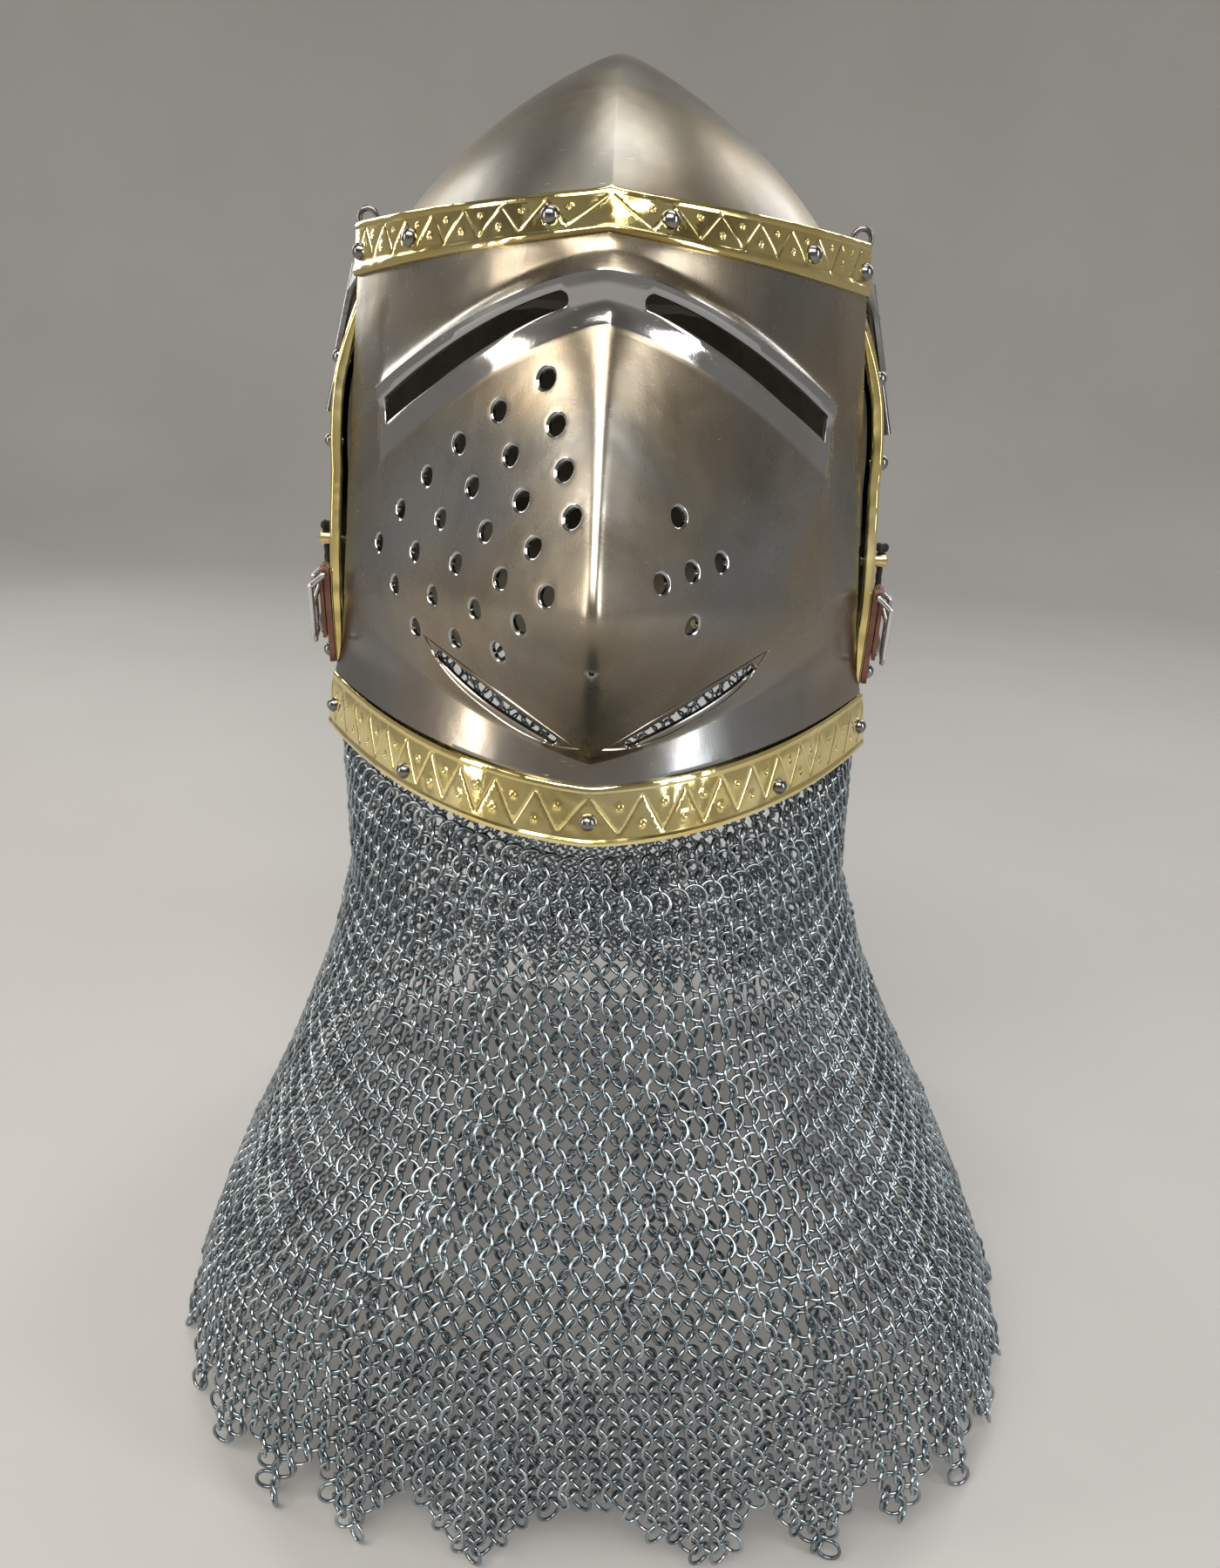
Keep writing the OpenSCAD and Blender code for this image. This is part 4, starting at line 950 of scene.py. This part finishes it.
for hand, mirror in (("left", False), ("right", True)):
    strip, half = strip_place(mirror)
    run = (-half, half)
    engraved("cheek_brass_" + hand, "cheek_trim_" + hand, "skull_body", strip, run, STRIP, STROKE, 0.5)
    folded_edge("cheek_fold_" + hand, strip, run)


def brow_place(along, q):
    f = np.interp(along, BROW_S, BROW_F)
    end = -CHEEK - CORNER - 0.3
    lo, up = f * float(turn(end, -BROW)), f * float(turn(end, -BROW + STRIP))
    t, z = lo + (up - lo) * q, -BROW + STRIP * q
    return skull(t, z), skull_normal(t, z), SAG + STRIP_THICK, SAG


BROW_F = np.linspace(-1, 1, 801)
BROW_S = BROW_F
BROW_S = lengths(brow_place(BROW_S, 0.5)[0])
BROW_S -= BROW_S[400]
engraved("brow_brass", "brow_trim", "skull_body", brow_place, (BROW_S[0], BROW_S[-1]), STRIP, STROKE, 0.5)
folded_edge("brow_fold", brow_place, (BROW_S[0], BROW_S[-1]))


# Vervelles' path: leather band and cord.
FLAT = 2.15
PATH_TOP, PATH_LOW, PATH_TURN = -174.0, -241.0, 14.0
PATH_START, PATH_FOOT = 87.2, 88.6
RUN_DOWN = math.hypot((PATH_FOOT - PATH_START) * FLAT, PATH_TOP - PATH_LOW - PATH_TURN)
RUN_TURN = PATH_TURN * math.pi / 2
RUN_HALF = RUN_DOWN + RUN_TURN + (180 - PATH_FOOT) * FLAT - PATH_TURN


def path(s):
    m = np.minimum(s, 2 * RUN_HALF - s)
    f = np.clip(m / RUN_DOWN, 0, 1)
    a = np.clip((m - RUN_DOWN) / RUN_TURN, 0, 1) * math.pi / 2
    rest = np.maximum(0, m - RUN_DOWN - RUN_TURN)
    t = PATH_START + (PATH_FOOT - PATH_START) * f + PATH_TURN * (1 - np.cos(a)) / FLAT + rest / FLAT
    z = PATH_TOP + (PATH_LOW + PATH_TURN - PATH_TOP) * f - PATH_TURN * np.sin(a)
    return np.where(s <= RUN_HALF, t, 360 - t), z


def beside(s, across, out):
    t0, z0 = path(s - 0.5)
    t1, z1 = path(s + 0.5)
    t, z = path(s)
    d = unit(np.stack([(t1 - t0) * FLAT, z1 - z0], -1))
    return skull(np.radians(t + across * d[..., 1] / FLAT), z - across * d[..., 0], out)


def leather_band():
    across, out = strap_section(9.0, LEATHER, 7, 7)
    pts = np.stack([beside(k, across, out + SAG + LEATHER / 2)
                    for k in np.arange(0.5, 2 * RUN_HALF - 0.4, 1.6)])
    add_mesh("mail_leather", *fan_caps(pts), LEATHER_DARK, "skull_body", "aventail_band", "leather_dark")


leather_band()

CORD_OUT, CORD_R, CORD_START, KNOT_R = 6.5, 1.6, 5.0, 1.35


def lacing():
    """The twisted cord from knot to knot, and the two knots."""
    ends = (CORD_START, 2 * RUN_HALF - CORD_START)
    s = np.arange(ends[0], ends[1], 0.55)
    centre = beside(s, 0, CORD_OUT)
    along = unit(np.gradient(centre, axis=0))
    n = unit(beside(s, 0, CORD_OUT + 1) - centre)
    w = np.arange(12) * math.pi / 6
    radius = CORD_R * (0.9 + 0.1 * np.cos(3 * w[None] - s[:, None] * 2 * math.pi / 5.2))
    parts = [fan_caps(tube(centre, n, np.cross(along, n), radius[..., None], w))]
    k = np.arange(120) * math.pi / 60
    turns = columns(1.55 * np.cos(k) + 0.75 * np.cos(2 * k), 1.55 * np.sin(k) - 0.75 * np.sin(2 * k),
                             0.8 * np.sin(3 * k))
    ahead = unit(np.roll(turns, -1, 0) - np.roll(turns, 1, 0))
    one = unit(np.cross(ahead, turns + [0.01, 0.02, 0.03]))
    for end in ends:
        loops = tube(beside(end, 0, CORD_OUT) + turns, one, np.cross(ahead, one), KNOT_R, w)
        parts.append((loops.reshape(-1, 3), [loft_grid(loops, True)]))
    faces, at = [], 0
    for verts, groups in parts:
        faces += [group + at for group in groups]
        at += len(verts)
    add_mesh("lacing_cord", np.vstack([verts for verts, _ in parts]), faces, CORD_BLACK, "skull_body",
             "vervelle_cord", "cord_black", None)


lacing()


# Padding.
PAD_OUT = PLATE + SAG + LEATHER + 0.3 + SEAT
PAD_BEND, PAD_BROW, PAD_LOW = 40.0, 78.0, 175.0


def pad(t, z, depth, rise):
    p = skull(t, z, -PAD_OUT - depth)
    lift = -PAD_BEND + rise * np.sin(math.pi / 2 * np.clip((z + PAD_BEND) / (APEX + 2 + PAD_BEND), 0, 1))
    p[..., 2] = np.where(z > -PAD_BEND, p[..., 2] - z + lift, p[..., 2])
    return p


def pad_depth(t, z):
    channel = (np.degrees(t) / 20.0) % 1.0 * 2 - 1
    swell = 1 - np.abs(channel) ** 2.4
    return 2.0 + (4.5 + 3.0 * swell) * (0.25 + 0.75 * smooth((z + PAD_LOW) / 9.0))


pad_down = np.concatenate([np.linspace(-PAD_BROW - 0.6, -92, 9), np.linspace(-95, -PAD_LOW, 34)])
liner = shell("liner_quilted", LINEN, "liner", "padding", 288, rows_above(PAD_BROW, 0.13, 44), pad_down,
              (-14.0, -PAD_BROW, 14.0, None),
              lambda t, z: pad(t, z, 0, 48), lambda t, z: pad(t, z, pad_depth(t, z), 40.5), (8.0, 0.5))


def strap():
    level, out = strap_section(6.95, LEATHER, 4, 6)
    pts = np.stack([skull(a, -BROW + STRIP / 2 + level, out - PLATE - SAG - LEATHER / 2)
                    for a in np.radians(np.arange(0, 360, 1.5))])
    add_mesh("strap_leather", pts.reshape(-1, 3), loft_grid(pts, True), LEATHER_DARK, "skull_body",
             "liner_strap", "leather_dark")


strap()


# Mail.
TOP_MAIL = 250.3
NECK = float(side(np.array(-TOP_MAIL))) + 0.15 + 0.35 + 2
BACK = float(mid(np.array(-RIM)) + aft(np.array(-RIM))) + 1.5 + 0.3 + 2
RINGS = np.array([
    [-TOP_MAIL, -TOP_MAIL - 35, NECK, -133, BACK, 1.7, 2],
    [-292, -302, NECK - 1.5, -141, 124, 1.8, 2],
    [-335, -335, 124, -152, 124, 2, 2],
    [-388, -366, 138, -172, 140, 2.1, 2.1],
    [-440, -395, 160, -196, 168, 2.4, 2.4],
    [-475, -415, 176, -217, 188, 2.7, 2.7],
    [-500, -440, 190, -228, 200, 2.9, 2.9],
    [-548, -548, 211, -231, 207, 3, 3],
])
DAGS, DAG, WIRE, LINK = 30, 38.0, 0.75, 4.6
ROW_PITCH, LINK_PITCH, LEAN, LEAN_FROM = 5.85, 8.05, 0.042, 262
COLUMNS, LEVELS, LINK_STEPS, WIRE_STEPS, MOST_FACES = 721, 281, 22, 8, 185000


def mail_at(v, t):
    """Middle of the curtain: v from 0 at the top ring to 7 at the hem."""
    ring = [np.interp(v, np.arange(8), RINGS[:, k]) for k in range(7)]
    c = np.cos(t)
    z = ring[0] + (ring[1] - ring[0]) * np.maximum(0, c) ** 2
    scoop = ring[0] - 24 * smooth((c - 0.02) / 0.16) - 11 * np.maximum(0, c) ** 2
    z = z + (scoop - z) * np.clip(1 - v, 0, 1)
    e = 2 / np.where(c > 0, ring[5], ring[6])
    y_reach = np.where(c > 0, MIDDLE - ring[3] - 1, ring[4] - MIDDLE - 1)
    x = (ring[2] - 1) * np.sign(np.sin(t)) * np.abs(np.sin(t)) ** e + LEAN * np.maximum(0, -LEAN_FROM - z)
    return stack(x, MIDDLE - y_reach * np.sign(c) * np.abs(c) ** e, z)


def beside_each(s):
    """The places before and after each place in a closed row that is 1 long."""
    return np.append(s[-1] - 1, s[:-1]), np.append(s[1:], s[0] + 1)


def mail_rings():
    """Centres, rows and sizes of every ring, four linked to each, with rings added as it widens."""
    t = np.linspace(0, 2 * math.pi, COLUMNS)
    sheet = mail_at(np.linspace(0, 7, LEVELS)[:, None], t[None])
    for _ in range(3):
        sheet[1:-1] = (sheet[:-2] + 2 * sheet[1:-1] + sheet[2:]) / 4
    down = lengths(sheet)
    count = int(round(down[-1].mean() / ROW_PITCH))
    share = (np.arange(count) + 0.55) / (count + 0.1)
    level = np.stack([np.interp(share * line[-1], line, np.arange(LEVELS)) for line in down.T], 1)
    lo = np.clip(level.astype(int), 0, LEVELS - 2)
    f = (level - lo)[..., None]
    column = np.arange(COLUMNS)
    rows = sheet[lo, column] * (1 - f) + sheet[lo + 1, column] * f
    around = lengths(rows, 1)
    want = [int(round(run[-1] / LINK_PITCH)) for run in around]
    places, links, extra = [np.arange(want[0]) / want[0]], [None], 0.37
    for k in range(1, count):
        prev = places[-1]
        n = len(prev)
        nxt = beside_each(prev)[1]
        gaps = set()
        for _ in range(want[k] - n):
            extra = (extra + 0.381966) % 1.0
            gaps.add(int(extra * n) % n)
        new, up = [], []
        for i in range(n):
            pair = (i, (i + 1) % n)
            if i in gaps:
                new += [prev[i] + (nxt[i] - prev[i]) * w for w in (0.3, 0.7)]
                up += [pair, pair]
            else:
                new.append((prev[i] + nxt[i]) / 2)
                up.append(pair)
        places.append(np.array(new))
        links.append(np.array(up))
    for _ in range(90):
        for k, s in enumerate(places):
            before, after = beside_each(s)
            total, weight = 0.5 * (before + after), np.ones(len(s))
            if k:
                for index in links[k].T:
                    near = places[k - 1][index]
                    total += (near + np.round(s - near)) * 0.5
                    weight += 0.5
            if k + 1 < count:
                for index in links[k + 1].T:
                    near = places[k + 1] + np.round(s[index] - places[k + 1])
                    total += np.bincount(index, near * 0.5, len(s))
                    weight += np.bincount(index, np.full(len(near), 0.5), len(s))
            places[k] = s + 0.7 * (total / weight - s)

    def at(place, known, table):
        return np.stack([np.interp(place, known, line) for line in table.T], -1)

    out = []
    for k, row in enumerate(rows):
        run = around[k]
        s = places[k] % 1.0 * run[-1]
        j = np.interp(s, run, column)
        e1 = unit(at(j + 1.5, column, row) - at(j - 1.5, column, row))
        e2 = unit(at(j, column, rows[max(0, k - 1)] - rows[min(count - 1, k + 1)]))
        e2 = unit(e2 - (e2 * e1).sum(-1, keepdims=True) * e1)
        before, after = beside_each(places[k])
        out.append((at(s, run, row), e1, e2, run[-1] * (after - before) / 2, np.interp(s, run, t)))
    return out


def mail():
    """Every ring as a wire loop, in pieces by the angle that they hang at."""
    rows = mail_rings()
    kept = []
    for k, (*values, t) in enumerate(rows):
        tooth = np.abs(((t * DAGS / (2 * math.pi) + 0.5) % 1.0) * 2 - 1)
        keep = (len(rows) - 1 - k) * ROW_PITCH > DAG * (1 - tooth) - 3.0
        kept.append([value[keep] for value in (*values, np.full(len(t), k % 2))])
    centre, right, upward, pitch, odd = (np.concatenate(column) for column in zip(*kept))
    n = len(centre)
    front = np.cross(right, upward)
    lean = np.radians(np.clip(31 + (8.1 - pitch) * 6, 22, 44) + rng.normal(0, 2.0, n))
    lean *= np.where(odd > 0, 1, -1)
    nod = np.radians(rng.normal(0, 3.0, n))
    u = np.cos(lean)[:, None] * right + np.sin(lean)[:, None] * front
    v = np.cos(nod)[:, None] * upward + np.sin(nod)[:, None] * np.cross(u, upward)
    m = np.cross(u, v)
    centre = centre + rng.normal(0, 0.12, (n, 3))
    size = LINK * (1 + rng.normal(0, 0.008, n))
    tone = rng.random(n)
    w = np.arange(LINK_STEPS) * 2 * math.pi / LINK_STEPS
    q = np.arange(WIRE_STEPS) * 2 * math.pi / WIRE_STEPS
    each = LINK_STEPS * WIRE_STEPS
    faces = loft_grid(np.zeros((LINK_STEPS, WIRE_STEPS, 3)), True)
    share = max(1, math.ceil(n * each * 2 / MOST_FACES))
    order = np.argsort(np.arctan2(centre[:, 1] - MIDDLE, centre[:, 0]))
    for part in range(share):
        pick = order[part * n // share:(part + 1) * n // share]
        spoke = u[pick, None] * np.cos(w)[:, None] + v[pick, None] * np.sin(w)[:, None]
        reach = size[pick, None, None, None] + WIRE * np.cos(q)[:, None]
        pts = (centre[pick, None, None] + spoke[:, :, None] * reach
               + WIRE * np.sin(q)[:, None] * m[pick, None, None])
        index = (np.arange(len(pick)) * each)[:, None, None] + faces
        add_mesh(f"mail_{part + 1:02d}", pts.reshape(-1, 3), index.reshape(-1, 4), MAIL, "skull_body",
                 None if part else "aventail", "mail_steel", None, {"tone": np.repeat(tone[pick], each)})
    print("mail rings", n, "pieces", share)


mail()


# Floor and light.
def studio():
    """A round pale cove and soft lights."""
    low = CAD_BOX[0][2] - 0.003
    bend = np.linspace(0, math.pi / 2, 16)
    radius = np.concatenate([[0.001, 0.3, 0.8, 1.4], 2.0 + 0.9 * np.sin(bend), [2.9]])
    level = np.concatenate([[0, 0, 0, 0], 0.9 - 0.9 * np.cos(bend), [4.4]]) + low
    w = np.linspace(0, 2 * math.pi, 97)[:-1]
    cove = np.stack([stack(radius * math.cos(k), radius * math.sin(k), level) for k in w])
    n = Nodes("floor_pale", Roughness=0.85)
    pale = n.ramp(n.noise(2.5, 3, 0.5), (0.3, (0.43, 0.415, 0.395)), (0.7, (0.46, 0.445, 0.425)))
    n.set("Base Color", pale)
    mesh = bpy.data.meshes.new("floor")
    mesh.from_pydata(cove.reshape(-1, 3).tolist(), [], loft_grid(cove, True, False).tolist())
    mesh.polygons.foreach_set("use_smooth", [True] * len(mesh.polygons))
    mesh.materials.append(n.mat)
    placed("floor", mesh)

    for name, place, aim, size, watts, colour in (
        ("key", (-0.35, -1.35, 1.35), (0, 0, -0.2), (2.3, 1.0), 48, (1.0, 0.98, 0.95)),
        ("fill", (1.6, -0.9, 0.35), (0, 0, -0.25), (0.4, 1.4), 12, (0.93, 0.96, 1.0)),
        ("window", (-1.6, -0.5, 0.2), (0, 0, -0.25), (0.35, 1.2), 8, (1.0, 0.93, 0.84)),
        ("crown", (0.1, 0.3, 1.6), (0, 0, 0), (1.1, 0.9), 12, (1, 1, 1)),
        ("rim", (-1.3, 1.2, 0.6), (0, 0, -0.2), (0.4, 1.2), 8, (1, 1, 1)),
        ("far", (1.2, 1.4, 0.9), (0, 0.2, -0.2), (0.5, 1.0), 8, (1, 1, 1)),
    ):
        data = bpy.data.lights.new(name, "AREA")
        data.shape = "RECTANGLE"
        data.size, data.size_y = size
        data.energy = watts
        data.color = colour
        light = placed(name, data)
        light.location = place
        light.rotation_euler = (Vector(aim) - Vector(place)).to_track_quat("-Z", "Y").to_euler()

    world = bpy.data.worlds.new("world")
    bpy.context.scene.world = world
    world.use_nodes = True
    tree = world.node_tree
    back = tree.nodes["Background"]
    coords, split, remap, ramp = [tree.nodes.new("ShaderNode" + kind)
                                  for kind in ("TexCoord", "SeparateXYZ", "MapRange", "ValToRGB")]
    assign(tree, split.inputs[0], coords.outputs["Generated"])
    assign(tree, remap.inputs[0], split.outputs["Z"])
    assign(tree, remap.inputs[1], -1)
    assign(tree, ramp.inputs[0], remap.outputs[0])
    assign(tree, back.inputs[0], fill_ramp(ramp, (
        (0.0, (0.05, 0.045, 0.04)), (0.45, (0.09, 0.08, 0.07)), (0.56, (0.22, 0.20, 0.175)),
        (0.7, (0.13, 0.125, 0.12)), (0.86, (0.34, 0.335, 0.33)), (1.0, (0.24, 0.24, 0.245)))))
    assign(tree, back.inputs[1], 0.75)
    bpy.context.scene.view_settings.view_transform = "Standard"


studio()
